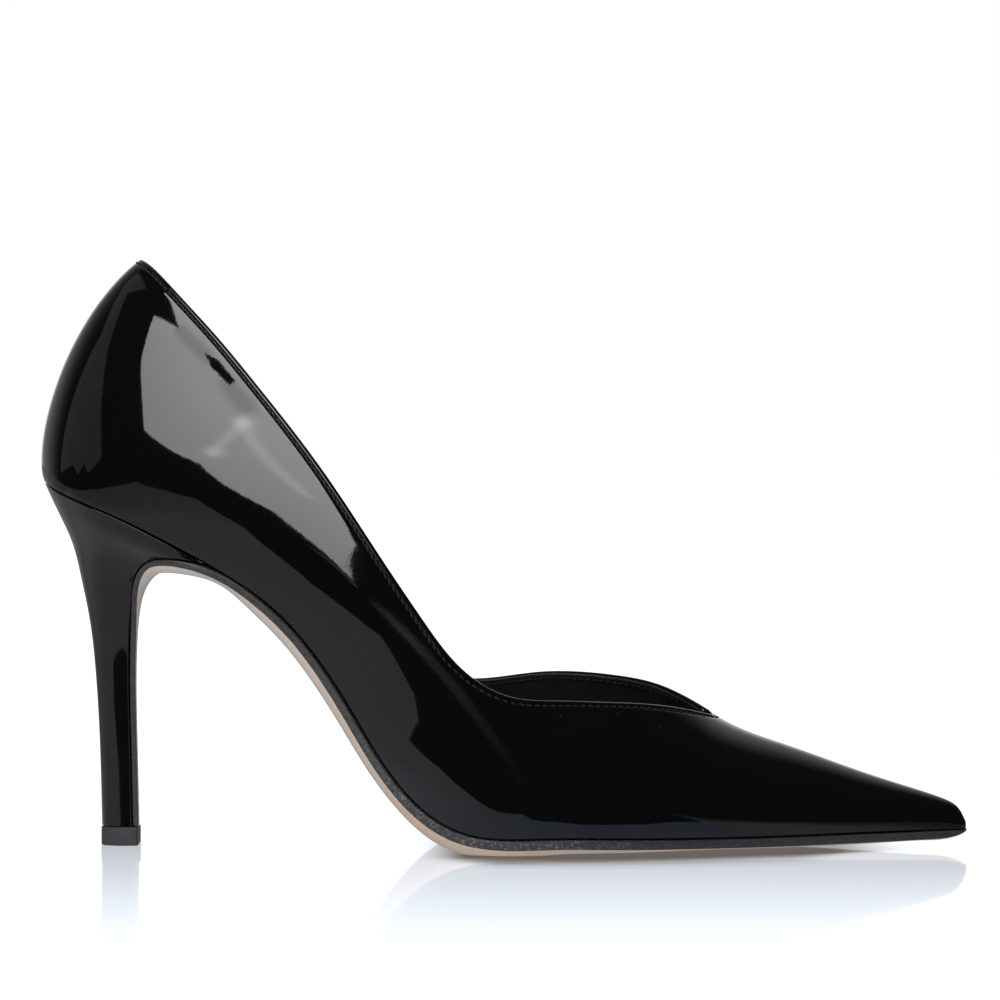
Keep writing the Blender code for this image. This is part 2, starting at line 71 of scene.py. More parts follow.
# Lean of the back seam's two middle handles from a straight line, in X and Z
BELLY_LEAN = (-12.2, -10.5)
SHOULDER_LEAN = (-12.5, 4.4)
TOPLINE_INNER = ((-90.5, 146.8), (-88.0, 145.2), (-84.5, 142.1), (-79.2, 136.6), (-69.2, 125.8),
                 (-59.3, 113.9), (-49.4, 101.4), (-39.5, 87.6), (-29.7, 72.6), (-19.9, 58.1), (-12.6, 48.4),
                 (-5.3, 42.1), (1.9, 38.9), (14.1, 37.8), (23.8, 37.4), (36.3, 36.6), (45.0, 35.1),
                 (52.5, 33.05))
TOPLINE_OUTER = ((-90.5, 146.8), (-86.0, 142.5), (-81.5, 136.9), (-71.8, 125.7), (-62.3, 113.8),
                 (-52.8, 101.2), (-43.5, 87.5), (-34.2, 72.6), (-26.0, 58.7), (-20.0, 49.0), (-14.0, 42.1),
                 (-6.0, 40.1), (9.8, 42.1), (20.1, 42.4), (30.3, 41.6), (40.3, 39.6), (46.0, 37.1),
                 (50.0, 34.8), (52.5, 33.05))
PEAK_SLOPE = 2.0                # climb of the cutting line behind the back peak
WALL = 1.6                      # leather, stiffener and lining together
TOE_WALL = 0.3                  # what is left of it at the toe point
TOE_THINNING = 14.0             # length over which it thins to that
FOLD = WALL / 2                 # radius of the folded top edge
FOLD_MARGIN = 2.2               # how far the leather is turned in behind that edge
FEATHER = 0.8                   # rounding at the foot line
LASTING = 4.0                   # margin turned under the foot line
STITCH_DROP = 1.55              # stitch row below the top edge
STITCH_TROUGH = 0.28            # depth and half width of its trough
TROUGH_HALF = 0.36
EDGE_ROLL = (0.06, 0.7, 0.3)    # roll beside the fold: height, distance from the edge, half width
SEAM_TROUGH = 0.16              # depth and half width of the back seam
SEAM_HALF = 0.25
SEAM_LIPS = (0.05, 0.9, 0.6)    # leather raised beside it: height, distance from it, half width
SEAM_FRONT = -80.0              # X behind which the seam sets in, and the length over which it does
SEAM_FADE = 5.0
EDGE_SHARE = 0.35               # most of a rib that the close rows below its top edge take up
HEM_TAPER = 0.08                # part of the way round over which the margins narrow to the toe
HEM_LEAST = 0.12                # what is left of them at the toe point
SEAM_STEPS = (0.08, 0.16, 0.25, 0.36, 0.5, 0.75, 1.1)
QUARTER_STATIONS = 300
VAMP_STATIONS = 110
LOWER_ROWS = 44
FOLD_TURNS = np.radians(np.linspace(0, 90, 10))
NEAR_EDGE = np.concatenate([FOLD * (1 - np.cos(FOLD_TURNS)),
                            [0.9, 1.0, 1.1, 1.2, 1.3, 1.4, 1.5, 1.6, 1.75, 1.9, 2.1, 2.4, 2.8, 3.4, 4.2]])
PAST_THROAT = (1.0, 1.2, 1.5, 1.9, 2.4, 3.0)
# Soft creases at the waist: three points of each in the side view, depth and half width
CREASES = (
    ((-34.0, 64.0), (-9.5, 42.5), (11.0, 9.0), 0.18, 1.7),
    ((-16.0, 36.0), (-10.0, 27.0), (-3.0, 15.0), 0.06, 1.8),
)
# Slight unevenness of the drawn skin: wave lengths along X, Y and Z, and height
SKIN_WAVES = ((61.0, 83.0, 37.0, 0.030), (29.0, 53.0, 43.0, 0.018), (23.0, 31.0, 17.0, 0.007))


def smooth(knots, values, at, period=None):
    """Cubic curve with even curvature through values at knots: free at its ends, or closed after period."""
    knots = np.asarray(knots, float)
    values = np.asarray(values, float)
    at = np.asarray(at, float)
    if period is not None:
        knots = np.append(knots, knots[0] + period)
        values = np.concatenate([values, values[:1]])
        at = at % period
    count = len(knots)
    step = np.diff(knots)
    slope = np.diff(values, axis=0) / step[:, None]
    inner = np.arange(1, count - 1)
    system = np.eye(count)
    system[inner, inner - 1] = step[:-1]
    system[inner, inner] = 2 * (step[:-1] + step[1:])
    system[inner, inner + 1] = step[1:]
    bend = np.zeros_like(values)
    bend[1:-1] = 6 * np.diff(slope, axis=0)
    if period is not None:
        system[0, -1] = -1
        system[-1, :2] = 2 * step[0], step[0]
        system[-1, -2:] = step[-1], 2 * step[-1]
        bend[-1] = 6 * (slope[0] - slope[-1])
    curve = np.linalg.solve(system, bend)
    i = np.clip(np.searchsorted(knots, at, side="right") - 1, 0, count - 2)
    after = (at - knots[i])[:, None]
    before = (knots[i + 1] - at)[:, None]
    run = step[i][:, None]
    return ((curve[i] * before ** 3 + curve[i + 1] * after ** 3) / (6 * run)
            + (values[i] / run - curve[i] * run / 6) * before
            + (values[i + 1] / run - curve[i + 1] * run / 6) * after)


def columns(names, rows):
    """Turns a table into a dictionary of arrays, one for each named column."""
    return dict(zip(names, np.array(rows, float).T))


def unit(vectors):
    """Vectors of length one along the last axis."""
    return vectors / np.linalg.norm(vectors, axis=-1, keepdims=True)


def parabola(start, corner, end, share):
    """Curve that leaves start towards corner and comes to end from it: start by the square of what is left,
    end by the square of share, and corner by twice their product."""
    return (1 - share) ** 2 * start + 2 * share * (1 - share) * corner + share ** 2 * end


def rib_handles(inner_side):
    """Handles of every rib on one side: the side-view points, their half widths taken off the axis on the
    inner side and added to it on the outer side."""
    last = columns(LAST_COLUMNS, LAST_ROWS)
    foot = np.stack([last["foot_x"], last["foot_z"]], 1)
    top = np.stack([last["top_x"], last["top_z"]], 1)
    bow = last["bow"][:, None]
    belly = foot + (top - foot) * last["belly_rise"][:, None] + bow * np.array(BELLY_LEAN)
    shoulder = foot + (top - foot) * last["shoulder_rise"][:, None] + bow * np.array(SHOULDER_LEAN)
    side, sign = ("i", -1) if inner_side else ("o", 1)
    halves = [last["foot_" + side], last["belly_" + side], last["shoulder_" + side], last["top_half"]]
    views = (foot, belly, shoulder, top)
    return np.stack([np.stack([view[:, 0], last["axis"] + sign * half, view[:, 1]], -1)
                     for view, half in zip(views, halves)], 1)


inner_handles = rib_handles(True)
outer_handles = rib_handles(False)
wall_middles = np.stack([inner_handles[:, :3].mean(1), outer_handles[:, :3].mean(1)])
rib_strides = np.linalg.norm(np.diff(wall_middles, axis=1), axis=2).mean(0)
rib_knots = np.concatenate([[0.0], np.cumsum(rib_strides)]) / rib_strides.sum()
LOOP_KNOTS = np.concatenate([rib_knots, 2 - rib_knots[-2:0:-1]])
LOOP_HANDLES = np.concatenate([inner_handles, outer_handles[-2:0:-1]])


def handles_at(around):
    """Rib handles at around, which is 0 at the back seam, 1 at the toe by way of the inner side, and 2 at
    the seam again by way of the outer side."""
    flat = smooth(LOOP_KNOTS, LOOP_HANDLES.reshape(len(LOOP_KNOTS), -1), around, period=2.0)
    return flat.reshape(-1, 4, 3)


def last_surface(around, up):
    """Points of the last: the cubic rib at each around, at the heights up, 0 on the foot line and 1 at the
    rib's top."""
    up = np.asarray(up, float)[..., None]
    weights = np.concatenate([(1 - up) ** 3, 3 * up * (1 - up) ** 2, 3 * up ** 2 * (1 - up), up ** 3], -1)
    return np.einsum("nmk,nkd->nmd", weights, handles_at(around))


def last_normal(around, up, step=1e-4):
    """Outward unit normal of the last: a short step along the wall crossed with a short step up it."""
    along = last_surface(around + step, up) - last_surface(around - step, up)
    rise = last_surface(around, up + step) - last_surface(around, up - step)
    return unit(np.cross(along, rise))


def top_height(x, topline):
    """Height of the top line over X: it climbs behind the back peak and cuts nothing past the throat."""
    line = np.array(topline)
    inside = np.clip(x, line[0, 0], line[-1, 0])
    height = smooth(line[:, 0], line[:, 1:], inside.ravel())[:, 0].reshape(x.shape)
    height = height + PEAK_SLOPE * np.maximum(line[0, 0] - x, 0)
    return np.where(x > line[-1, 0], 1e3, height)


def cut_height(around, topline, samples=600):
    """Part of each rib below the top line: its first sample above the line, set back to the crossing."""
    up = np.linspace(0, 1, samples + 1)
    points = last_surface(around, np.tile(up, (len(around), 1)))
    over = points[..., 2] - top_height(points[..., 0], topline)
    first = np.argmax(over > 0, axis=1)
    row = np.arange(len(around))
    before = over[row, first - 1]
    cut = up[first - 1] + before / (before - over[row, first]) / samples
    return np.where((over > 0).any(1), cut, 1.0)


def run_length(line):
    """Length along a line of points, starting from 0."""
    return np.concatenate([[0.0], np.cumsum(np.linalg.norm(np.diff(line, axis=0), axis=1))])


def even_stations(along, counted, count, extra):
    """Stations that are even along a line, with some extra ones given by their distance from its start."""
    length = run_length(counted)
    wanted = np.concatenate([np.linspace(0, length[-1], count + 1), extra])
    return np.interp(np.sort(wanted), length, along)


crest_probe = np.linspace(0, 1, 2001)
THROAT = np.interp(TOPLINE_INNER[-1][0], handles_at(crest_probe)[:, 3, 0], crest_probe)
quarter_probe = THROAT * (1 - (1 - np.linspace(0, 1, 1501)) ** 2)
quarter_edge = last_surface(quarter_probe, cut_height(quarter_probe, TOPLINE_INNER)[:, None])[:, 0]
vamp_probe = THROAT + (1 - THROAT) * np.linspace(0, 1, 1501)
quarter_stations = even_stations(quarter_probe, quarter_edge, QUARTER_STATIONS, SEAM_STEPS)
vamp_stations = even_stations(vamp_probe, handles_at(vamp_probe)[:, 0], VAMP_STATIONS,
                              np.concatenate([NEAR_EDGE[1:len(FOLD_TURNS)], PAST_THROAT]))
STATIONS = np.concatenate([quarter_stations, vamp_stations[1:]])
EDGE_COUNT = len(quarter_stations)


def rib_run(around, cut, step=1e-3):
    """Length of each rib up to its cut, and how fast it runs there over the height from 0 to 1."""
    rib = last_surface(around, cut[:, None] * np.linspace(0, 1, 33))
    length = np.linalg.norm(np.diff(rib, axis=1), axis=2).sum(1)
    last_step = last_surface(around, cut[:, None]) - last_surface(around, cut[:, None] - step)
    return length, np.linalg.norm(last_step, axis=2)[:, 0] / step


def wall_heights(around, cut):
    """Heights of the wall's rows: even from the foot line, then closer below the folded top edge."""
    rib_length, speed = rib_run(around, cut)
    squeeze = np.minimum(1, EDGE_SHARE * rib_length / NEAR_EDGE[-1])
    near = cut[:, None] - (squeeze / speed)[:, None] * NEAR_EDGE
    low = FEATHER / rib_length * cut
    even = low[:, None] + (near[:, -1] - low)[:, None] * np.linspace(0, 1, LOWER_ROWS + 1)[:-1]
    return np.concatenate([even, near[:, ::-1]], 1)


def both_sides(heights_of):
    """Points and normals of the wall on both sides, which share the back seam, the toe and the crest."""
    points, normals = [], []
    for around, topline in ((STATIONS, TOPLINE_INNER), (2 - STATIONS, TOPLINE_OUTER)):
        cut = np.where(np.arange(len(STATIONS)) < EDGE_COUNT - 1, cut_height(around, topline), 1.0)
        heights = heights_of(around, cut)
        points.append(last_surface(around, heights))
        normals.append(last_normal(around, heights))
    points, normals = np.stack(points), np.stack(normals)
    for field in (points, normals):
        middle = field.mean(0)
        field[:, 0] = middle[0]
        field[:, -1] = middle[-1]
        field[:, EDGE_COUNT - 1:, -1] = middle[EDGE_COUNT - 1:, -1]
    return points, unit(normals)


def as_loop(sides, count=None):
    """One closed row of stations: the inner side forward from the back seam, then the outer side back."""
    inner, outer = sides[0][:count], sides[1][:count]
    return np.concatenate([inner, outer[-2:0:-1]])


def distance_to(points, line):
    """Distance from points to a closed line: of the two runs that meet at its nearest point, the nearer."""
    flat = points.reshape(-1, points.shape[-1])
    nearest = np.concatenate([np.argmin(((part[:, None] - line) ** 2).sum(-1), 1)
                              for part in np.array_split(flat, 64)])
    gaps = []
    for step in (-1, 0):
        first = (nearest + step) % len(line)
        start = line[first]
        run = line[(first + 1) % len(line)] - start
        share = np.clip(((flat - start) * run).sum(-1) / (run * run).sum(-1), 0, 1)
        gaps.append(np.linalg.norm(flat - start - share[:, None] * run, axis=1))
    return np.minimum(*gaps).reshape(points.shape[:-1])


def wall_thickness(x):
    """Thickness of the wall over X: full, thinning in a straight line to the toe point."""
    short_of_tip = (LAST_ROWS[-1][0] - x) / TOE_THINNING
    return WALL * np.clip(short_of_tip, TOE_WALL / WALL, 1)


def crease_depth(points):
    """Depth of the creases on the inner side: across each a bell curve of its half width, along it the
    root of half a sine wave from end to end."""
    share = np.linspace(0, 1, 61)[:, None]
    total = np.zeros(points.shape[:-1])
    for start, middle, end, depth, half in CREASES:
        path = parabola(np.array(start), np.array(middle), np.array(end), share)
        gap = ((points[..., None, [0, 2]] - path) ** 2).sum(-1)
        total += depth * (np.sqrt(np.sin(np.pi * share[:, 0])) * np.exp(-gap / half ** 2)).max(-1)
    return total * (points[..., 1] < 0)


def skin_relief(points, from_edge):
    """Height of the finished skin over the last, as a sum: the quarter circle of the fold, a soft roll
    beside it, the stitches' trough, the groove and lips of the back seam, the creases and the waves."""
    roll, roll_drop, roll_half = EDGE_ROLL
    lip, lip_gap, lip_half = SEAM_LIPS
    fold = np.maximum(FOLD - from_edge, 0)
    relief = np.sqrt(FOLD ** 2 - fold ** 2) - FOLD
    below = np.clip(from_edge / FOLD, 0, 1)
    relief += below * roll * np.exp(-((from_edge - roll_drop) / roll_half) ** 2)
    relief -= below * STITCH_TROUGH * np.exp(-((from_edge - STITCH_DROP) / TROUGH_HALF) ** 2)
    at_back = np.clip((SEAM_FRONT - points[..., 0]) / SEAM_FADE, 0, 1) * below
    relief -= at_back * SEAM_TROUGH * np.exp(-(points[..., 1] / SEAM_HALF) ** 2)
    relief += at_back * lip * np.exp(-((np.abs(points[..., 1]) - lip_gap) / lip_half) ** 2)
    relief -= below * crease_depth(points)
    for wave_x, wave_y, wave_z, height in SKIN_WAVES:
        phase = 2 * np.pi * (points[..., 0] / wave_x + points[..., 1] / wave_y + points[..., 2] / wave_z)
        relief += below * height * np.sin(phase)
    return relief


def foot_height(x):
    """Height of the foot line over X in the side view."""
    line = handles_at(np.linspace(0, 1, 801))[:, 0]
    return np.interp(x, line[:, 0], line[:, 2])


def foot_line(around, margin):
    """Foot line of the last moved out in plan by margin, square to itself, at the foot line's height."""
    line = handles_at(around)[:, 0]
    run = handles_at(around + 1e-4)[:, 0] - handles_at(around - 1e-4)[:, 0]
    out = unit(np.stack([run[:, 1], -run[:, 0], np.zeros(len(run))], 1))
    line = line + np.asarray(margin)[..., None] * out
    line[:, 2] = foot_height(line[:, 0])
    return line


def grid_quads(rows, steps, closed=False):
    """Quads of a grid of points, whose rows may close into a ring; they face along-row cross up-step."""
    row = np.arange(rows if closed else rows - 1)[:, None]
    step = np.arange(steps - 1)[None]
    ahead = (row + 1) % rows
    return np.stack([row * steps + step, ahead * steps + step, ahead * steps + step + 1,
                     row * steps + step + 1], -1).reshape(-1, 4)


def add_object(name, data):
    """An object of a mesh, lamp or camera, linked into the scene."""
    made = bpy.data.objects.new(name, data)
    bpy.context.scene.collection.objects.link(made)
    return made


def add_piece(name, grids, look, fields=None):
    """A smooth-shaded mesh object from grids of points in millimetres, each with its quads, joined where
    they meet; fields are named numbers on the points for the material."""
    starts = np.cumsum([0] + [points.reshape(-1, 3).shape[0] for points, _ in grids])
    points = np.concatenate([points.reshape(-1, 3) for points, _ in grids])
    quads = np.concatenate([quads + start for (_, quads), start in zip(grids, starts)])
    mesh = bpy.data.meshes.new(name)
    mesh.from_pydata(((points - BOX_MIDDLE) * MM).tolist(), [], quads.tolist())
    for field, values in (fields or {}).items():
        mesh.attributes.new(field, "FLOAT", "POINT").data.foreach_set("value", np.ravel(values))
    shape = bmesh.new()
    shape.from_mesh(mesh)
    bmesh.ops.remove_doubles(shape, verts=shape.verts, dist=1e-6)
    shape.to_mesh(mesh)
    shape.free()
    mesh.polygons.foreach_set("use_smooth", np.ones(len(mesh.polygons), bool))
    mesh.materials.append(look)
    return add_object(name, mesh)


class Socket:
    """An output socket of a node tree: sums and products of sockets add their Math nodes."""

    def __init__(self, tree, out):
        self.tree = tree
        self.out = out

    def node(self, kind, settings=None, values=None, output=0):
        """Adds a node of any kind: its settings first, then the values or links of its inputs."""
        made = self.tree.nodes.new(kind)
        for name, value in (settings or {}).items():
            setattr(made, name, value)
        for name, value in (values or {}).items():
            if isinstance(value, Socket):
                self.tree.links.new(value.out, made.inputs[name])
            else:
                made.inputs[name].default_value = value
        return Socket(self.tree, made.outputs[output])

    def math(self, operation, first, second=0.0):
        """One Math node on two values."""
        return self.node("ShaderNodeMath", {"operation": operation}, {0: first, 1: second})

    def __add__(self, other):
        return self.math("ADD", self, other)

    def __radd__(self, other):
        return self.math("ADD", other, self)

    def __sub__(self, other):
        return self.math("SUBTRACT", self, other)

    def __rsub__(self, other):
        return self.math("SUBTRACT", other, self)

    def __mul__(self, other):
        return self.math("MULTIPLY", self, other)

    def __rmul__(self, other):
        return self.math("MULTIPLY", other, self)

    def ramp(self, low, high):
        """0 below low, 1 above high, and a soft step between them."""
        return self.node("ShaderNodeMapRange", {"interpolation_type": "SMOOTHSTEP"},
                         {"Value": self, "From Min": low, "From Max": high})

    def noise(self, scale, detail=2.0, roughness=0.5):
        """Noise from 0 to 1 on this vector, scale cells to the metre."""
        return self.node("ShaderNodeTexNoise", None, {"Vector": self, "Scale": scale, "Detail": detail,
                                                      "Roughness": roughness})

    def blend(self, first, second):
        """First colour where this is 0, second where it is 1."""
        return self.node("ShaderNodeMix", {"data_type": "RGBA"}, {0: self, 6: first, 7: second}, 2)

    def axis(self, name):
        """One coordinate of this vector: X, Y or Z."""
        return self.node("ShaderNodeSeparateXYZ", None, {"Vector": self}, name)

    def bump(self, distance):
        """Normal of a relief whose height is this times distance, in metres."""
        return self.node("ShaderNodeBump", None, {"Height": self, "Distance": distance, "Strength": 1.0})


def new_finish(name, **constants):
    """A material with its constants set on the shader, then that shader, then its Object coordinates."""
    look = bpy.data.materials.new(name)
    look.use_nodes = True
    shader = look.node_tree.nodes["Principled BSDF"]
    for socket, value in constants.items():
        shader.inputs[socket.replace("_", " ")].default_value = value
    place = Socket(look.node_tree, None).node("ShaderNodeTexCoord", None, None, "Object")
    return look, shader, place


def feed(shader, **links):
    """Links sockets to the shader's inputs, written with _ for a space."""
    for name, value in links.items():
        value.tree.links.new(value.out, shader.inputs[name.replace("_", " ")])


def patent_finish(name, tone, dull):
    """Lacquered leather: near black under a clear coat, with faint cloudy gloss, a very slight skin ripple,
    a few specks of dust, and a duller gloss along the creases."""
    look, shader, place = new_finish(name, IOR=1.5, Coat_Roughness=0.02, Coat_IOR=1.5)
    cloud = place.noise(70.0, 3.0)
    ripple = place.noise(240.0, 1.0) + 0.25 * place.noise(1500.0, 2.0)
    specks = place.node("ShaderNodeTexVoronoi", None, {"Vector": place, "Scale": 160.0})
    dust = 1 - specks.ramp(0.012, 0.03)
    black = cloud.blend((*tone, 1), tuple(1.5 * part for part in tone) + (1,))
    worn = place.node("ShaderNodeAttribute", {"attribute_name": "crease"}, None, "Fac").ramp(0.03, 0.15)
    feed(shader, Base_Color=dust.blend(black, (0.05, 0.05, 0.05, 1)),
         Roughness=dull + 0.03 * cloud + 0.24 * worn,
         Coat_Weight=0.15 + 0.15 * cloud, Normal=ripple.bump(0.000012))
    return look


wall_points, wall_normals = both_sides(wall_heights)
edge_line = as_loop(wall_points[:, :, -1], EDGE_COUNT)
from_edge = distance_to(wall_points, edge_line)
skin = wall_points + skin_relief(wall_points, from_edge)[..., None] * wall_normals
toe_room = np.clip((1 - STATIONS) / HEM_TAPER, HEM_LEAST, 1)
hem = []
for around in (STATIONS, 2 - STATIONS):
    corner = foot_line(around, 0.0)
    inside = foot_line(around, -FEATHER * toe_room)
    under = foot_line(around, -LASTING * toe_room)
    start = skin[len(hem), :, 0]
    roll = parabola(start, corner, inside, np.linspace(0, 1, 6)[:, None, None])
    hem.append(np.concatenate([under[None], roll[:0:-1]]).transpose(1, 0, 2))
outside = np.concatenate([as_loop(np.stack(hem)), as_loop(skin)], 1)
edge_normal = as_loop(wall_normals[:, :, -1], EDGE_COUNT)
edge_run = unit(np.roll(edge_line, -1, 0) - np.roll(edge_line, 1, 0))
edge_down = unit(np.cross(edge_run, edge_normal))
turned_drop = np.concatenate([FOLD * (1 - np.cos(FOLD_TURNS)), [1.2, FOLD_MARGIN]])
turned_depth = np.concatenate([FOLD * (1 + np.sin(FOLD_TURNS)), [WALL, WALL]])
turned_in = (edge_line[:, None] + turned_drop[:, None] * edge_down[:, None]
             - turned_depth[:, None] * edge_normal[:, None])
hem_crease = np.zeros((len(outside), hem[0].shape[1]))
outside_crease = np.concatenate([hem_crease, as_loop(crease_depth(wall_points))], 1)
upper_crease = np.concatenate([outside_crease.ravel(), np.zeros(turned_in[..., 0].size)])
PATENT_BLACK = (0.0012, 0.0012, 0.0013)
upper = add_piece("patent_upper", [
    (outside, grid_quads(*outside.shape[:2], closed=True)),
    (turned_in, grid_quads(*turned_in.shape[:2], closed=True)),
], patent_finish("patent_leather_finish", PATENT_BLACK, 0.03), {"crease": upper_crease})
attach(upper, "root")
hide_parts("upper")

# Lining: thin black leather glued inside the upper over its turned-in edge, from the inner side of the fold
# down to the insole, and forward over the roof of the toe.
LINING_EDGE = np.array([1.6, 1.2, 0.8, 0.5, 0.25, 0.1])     # drop of its last rows below the top edge
LINING_PROUD = 0.12
LINING_ROWS = 44


def lining_heights(around, cut):
    """Even rows from the foot line, then closer ones to the lining's edge, which rises to the crest past
    the throat."""
    rib_length, speed = rib_run(around, cut)
    drop = LINING_EDGE * np.minimum(1, EDGE_SHARE * rib_length / LINING_EDGE[0])[:, None]
    drop[:, -1] *= np.clip((THROAT - STATIONS) / 0.02, 0, 1)
    near = cut[:, None] - drop / speed[:, None]
    return np.concatenate([near[:, :1] * np.linspace(0, 1, LINING_ROWS + 1)[:-1], near], 1)


def lining_finish():
    """Smooth black leather: close pores as dimples, a little cloudiness, half matt."""
    look, shader, place = new_finish("lining_finish", IOR=1.45, Specular_IOR_Level=0.4)
    cloud = place.noise(120.0, 3.0)
    pores = place.node("ShaderNodeTexVoronoi", {"feature": "F1"}, {"Vector": place, "Scale": 1700.0})
    grain = pores.ramp(0.05, 0.55) + 0.5 * place.noise(900.0, 3.0)
    feed(shader, Base_Color=cloud.blend((0.009, 0.009, 0.0092, 1), (0.017, 0.0165, 0.0165, 1)),
         Roughness=0.36 + 0.16 * cloud, Normal=grain.bump(0.00003))
    return look


lining_points, lining_normals = both_sides(lining_heights)
lining_depth = wall_thickness(lining_points[..., 0]) + LINING_PROUD
over_fold = np.maximum(1 - LINING_EDGE / FOLD, 0)
lining_depth[:, :EDGE_COUNT - 1, -len(LINING_EDGE):] -= FOLD * (1 - np.sqrt(1 - over_fold ** 2))
lining_depth[:, :EDGE_COUNT - 1, -1] -= 2 * LINING_PROUD
inner_wall = as_loop(lining_points - lining_depth[..., None] * lining_normals)
lining = add_piece("quarter_lining", [
    (inner_wall, grid_quads(*inner_wall.shape[:2], closed=True)[:, ::-1])], lining_finish())
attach(lining, "root")

# Stitches: one row of black thread beside the folded edge, sewn through leather and lining, so that
# each stitch shows as a short raised bead outside and again inside.
STITCH_PITCH = 1.9
STITCH_LENGTH = 1.6
THREAD = 0.31
STITCH_SLANT = 0.12
STITCH_ARCH = 0.14      # rise of a stitch's middle over its ends, and how far those sink in
STITCH_SINK = 0.07
STITCH_RINGS = np.array([-1.0, -0.9, -0.65, -0.25, 0.25, 0.65, 0.9, 1.0])
STITCH_SIDES = 6


def stitch_row(surface, normals, drop, depth):
    """Beads along the top edge: rings whose radius follows half an ellipse along the stitch and whose
    middle arches over the surface, at even steps round the edge, drop below it and depth behind it."""
    length = run_length(np.concatenate([edge_line, edge_line[:1]]))
    count = int(length[-1] / STITCH_PITCH)
    at = (np.arange(count) + 0.5) * length[-1] / count

    def along_edge(field):
        closed = np.concatenate([field, field[:1]])
        return np.stack([np.interp(at, length, closed[:, axis]) for axis in range(3)], 1)

    run, out, down = (unit(along_edge(field)) for field in (edge_run, edge_normal, edge_down))
    place = along_edge(edge_line) + drop * down - depth * out
    flat, flat_normals = surface.reshape(-1, 3), normals.reshape(-1, 3)
    nearest = np.argmin(((place[:, None] - flat) ** 2).sum(-1), 1)
    facing = flat_normals[nearest]
    place += ((flat[nearest] - place) * facing).sum(-1, keepdims=True) * facing
    out = out if depth == 0 else -out
    angle = np.linspace(0, 2 * np.pi, STITCH_SIDES + 1)[None, :]
    arch = (1 - STITCH_RINGS ** 2)[:, None]
    radius = THREAD * np.sqrt(arch)
    ahead = STITCH_LENGTH / 2 * STITCH_RINGS[:, None] + 0 * angle
    across = radius * np.cos(angle) + STITCH_SLANT * ahead
    rise = radius * np.sin(angle) + STITCH_ARCH * arch - STITCH_SINK
    beads = place[:, None, None]
    for amount, way in ((ahead, run), (across, down), (rise, out)):
        beads = beads + amount[..., None] * way[:, None, None]
    quads = grid_quads(len(STITCH_RINGS), STITCH_SIDES + 1)
    quads = quads if depth == 0 else quads[:, ::-1]
    size = len(STITCH_RINGS) * (STITCH_SIDES + 1)
    return beads, (quads[None] + size * np.arange(count)[:, None, None]).reshape(-1, 4)


def thread_finish():
    """Bonded black thread: fine twisted strands as bands across the stitch, with a dull shine."""
    look, shader, place = new_finish("thread_finish", IOR=1.5, Specular_IOR_Level=0.2,
                                     Base_Color=(0.013, 0.013, 0.014, 1))
    strands = place.node("ShaderNodeTexWave", {"wave_type": "BANDS", "bands_direction": "DIAGONAL"},
                         {"Vector": place, "Scale": 1600.0, "Distortion": 1.0}, "Fac")
    feed(shader, Roughness=0.50 + 0.15 * strands, Normal=strands.bump(0.00003))
    return look


thread = thread_finish()
near_rows = slice(LOWER_ROWS, None)
outer_row = stitch_row(skin[:, :, near_rows], wall_normals[:, :, near_rows], STITCH_DROP + 0.1, 0.0)
inner_row = stitch_row(lining_points - lining_depth[..., None] * lining_normals, lining_normals,
                       STITCH_DROP, WALL + LINING_PROUD)
for row_name, row_mesh in (("topline_stitches", outer_row), ("lining_stitches", inner_row)):
    stitches = add_piece(row_name, [row_mesh], thread)
    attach(stitches, "root")

# Insole: a thin board covered by a full-length sock of black leather, lying inside the foot line
# with its edge rolled down, and dished a little at the heel.
INSOLE_THICK = 1.8
INSOLE_LIFT = 0.1
INSOLE_INSET = 2.6
INSOLE_END = 0.962
INSOLE_STATIONS = 180
INSOLE_STEPS = 28
HEEL_DISH = 0.5
DISH_FRONT = -60.0      # X behind which the dish sets in, and the length over which it does
DISH_FADE = 25.0
ROLL_HEIGHT = 0.9       # height and width of the sock's rolled edge
ROLL_WIDTH = 1.2


def path_down(first, second):
    """Unit direction square to the side view of the line midway between two edges, on the side that faces
    the floor along the forefoot."""
    middle = (first + second) / 2
    x, z = middle[:, 0], middle[:, 2]
    run = unit(np.stack([np.gradient(x), np.zeros_like(x), np.gradient(z)], 1))
    return np.stack([run[:, 2], np.zeros_like(x), -run[:, 0]], 1)


def sock_finish():
    """Sock of fine black leather: small pores, soft cloudiness and a satin face."""
    look, shader, place = new_finish("sock_finish", IOR=1.45, Specular_IOR_Level=0.4)
    cloud = place.noise(60.0, 4.0)
    pores = place.node("ShaderNodeTexVoronoi", {"feature": "F1"}, {"Vector": place, "Scale": 1300.0})
    grain = pores.ramp(0.05, 0.6) + 0.6 * place.noise(600.0, 4.0)
    feed(shader, Base_Color=cloud.blend((0.010, 0.010, 0.0105, 1), (0.019, 0.0185, 0.018, 1)),
         Roughness=0.38 + 0.2 * cloud, Normal=grain.bump(0.00004))
    return look


insole_along = INSOLE_END * (1 - np.cos(np.pi * np.linspace(0, 1, INSOLE_STATIONS + 1))) / 2
sock_inner = foot_line(insole_along, -INSOLE_INSET)
sock_outer = foot_line(2 - insole_along, -INSOLE_INSET)
sock_down = path_down(sock_inner, sock_outer)
across = (1 - np.cos(np.pi * np.linspace(0, 1, INSOLE_STEPS + 1)))[:, None] / 2
sock_width = np.linalg.norm(sock_outer - sock_inner, axis=1)
edge_gap = np.minimum(across, 1 - across) * sock_width
rolled = np.clip(edge_gap / ROLL_WIDTH, 0, 1)
dish = HEEL_DISH * np.sin(np.pi * across) * np.clip((DISH_FRONT - sock_inner[:, 0]) / DISH_FADE, 0, 1)
top_lift = INSOLE_LIFT + (INSOLE_THICK - ROLL_HEIGHT) + ROLL_HEIGHT * np.sqrt(1 - (1 - rolled) ** 2) - dish
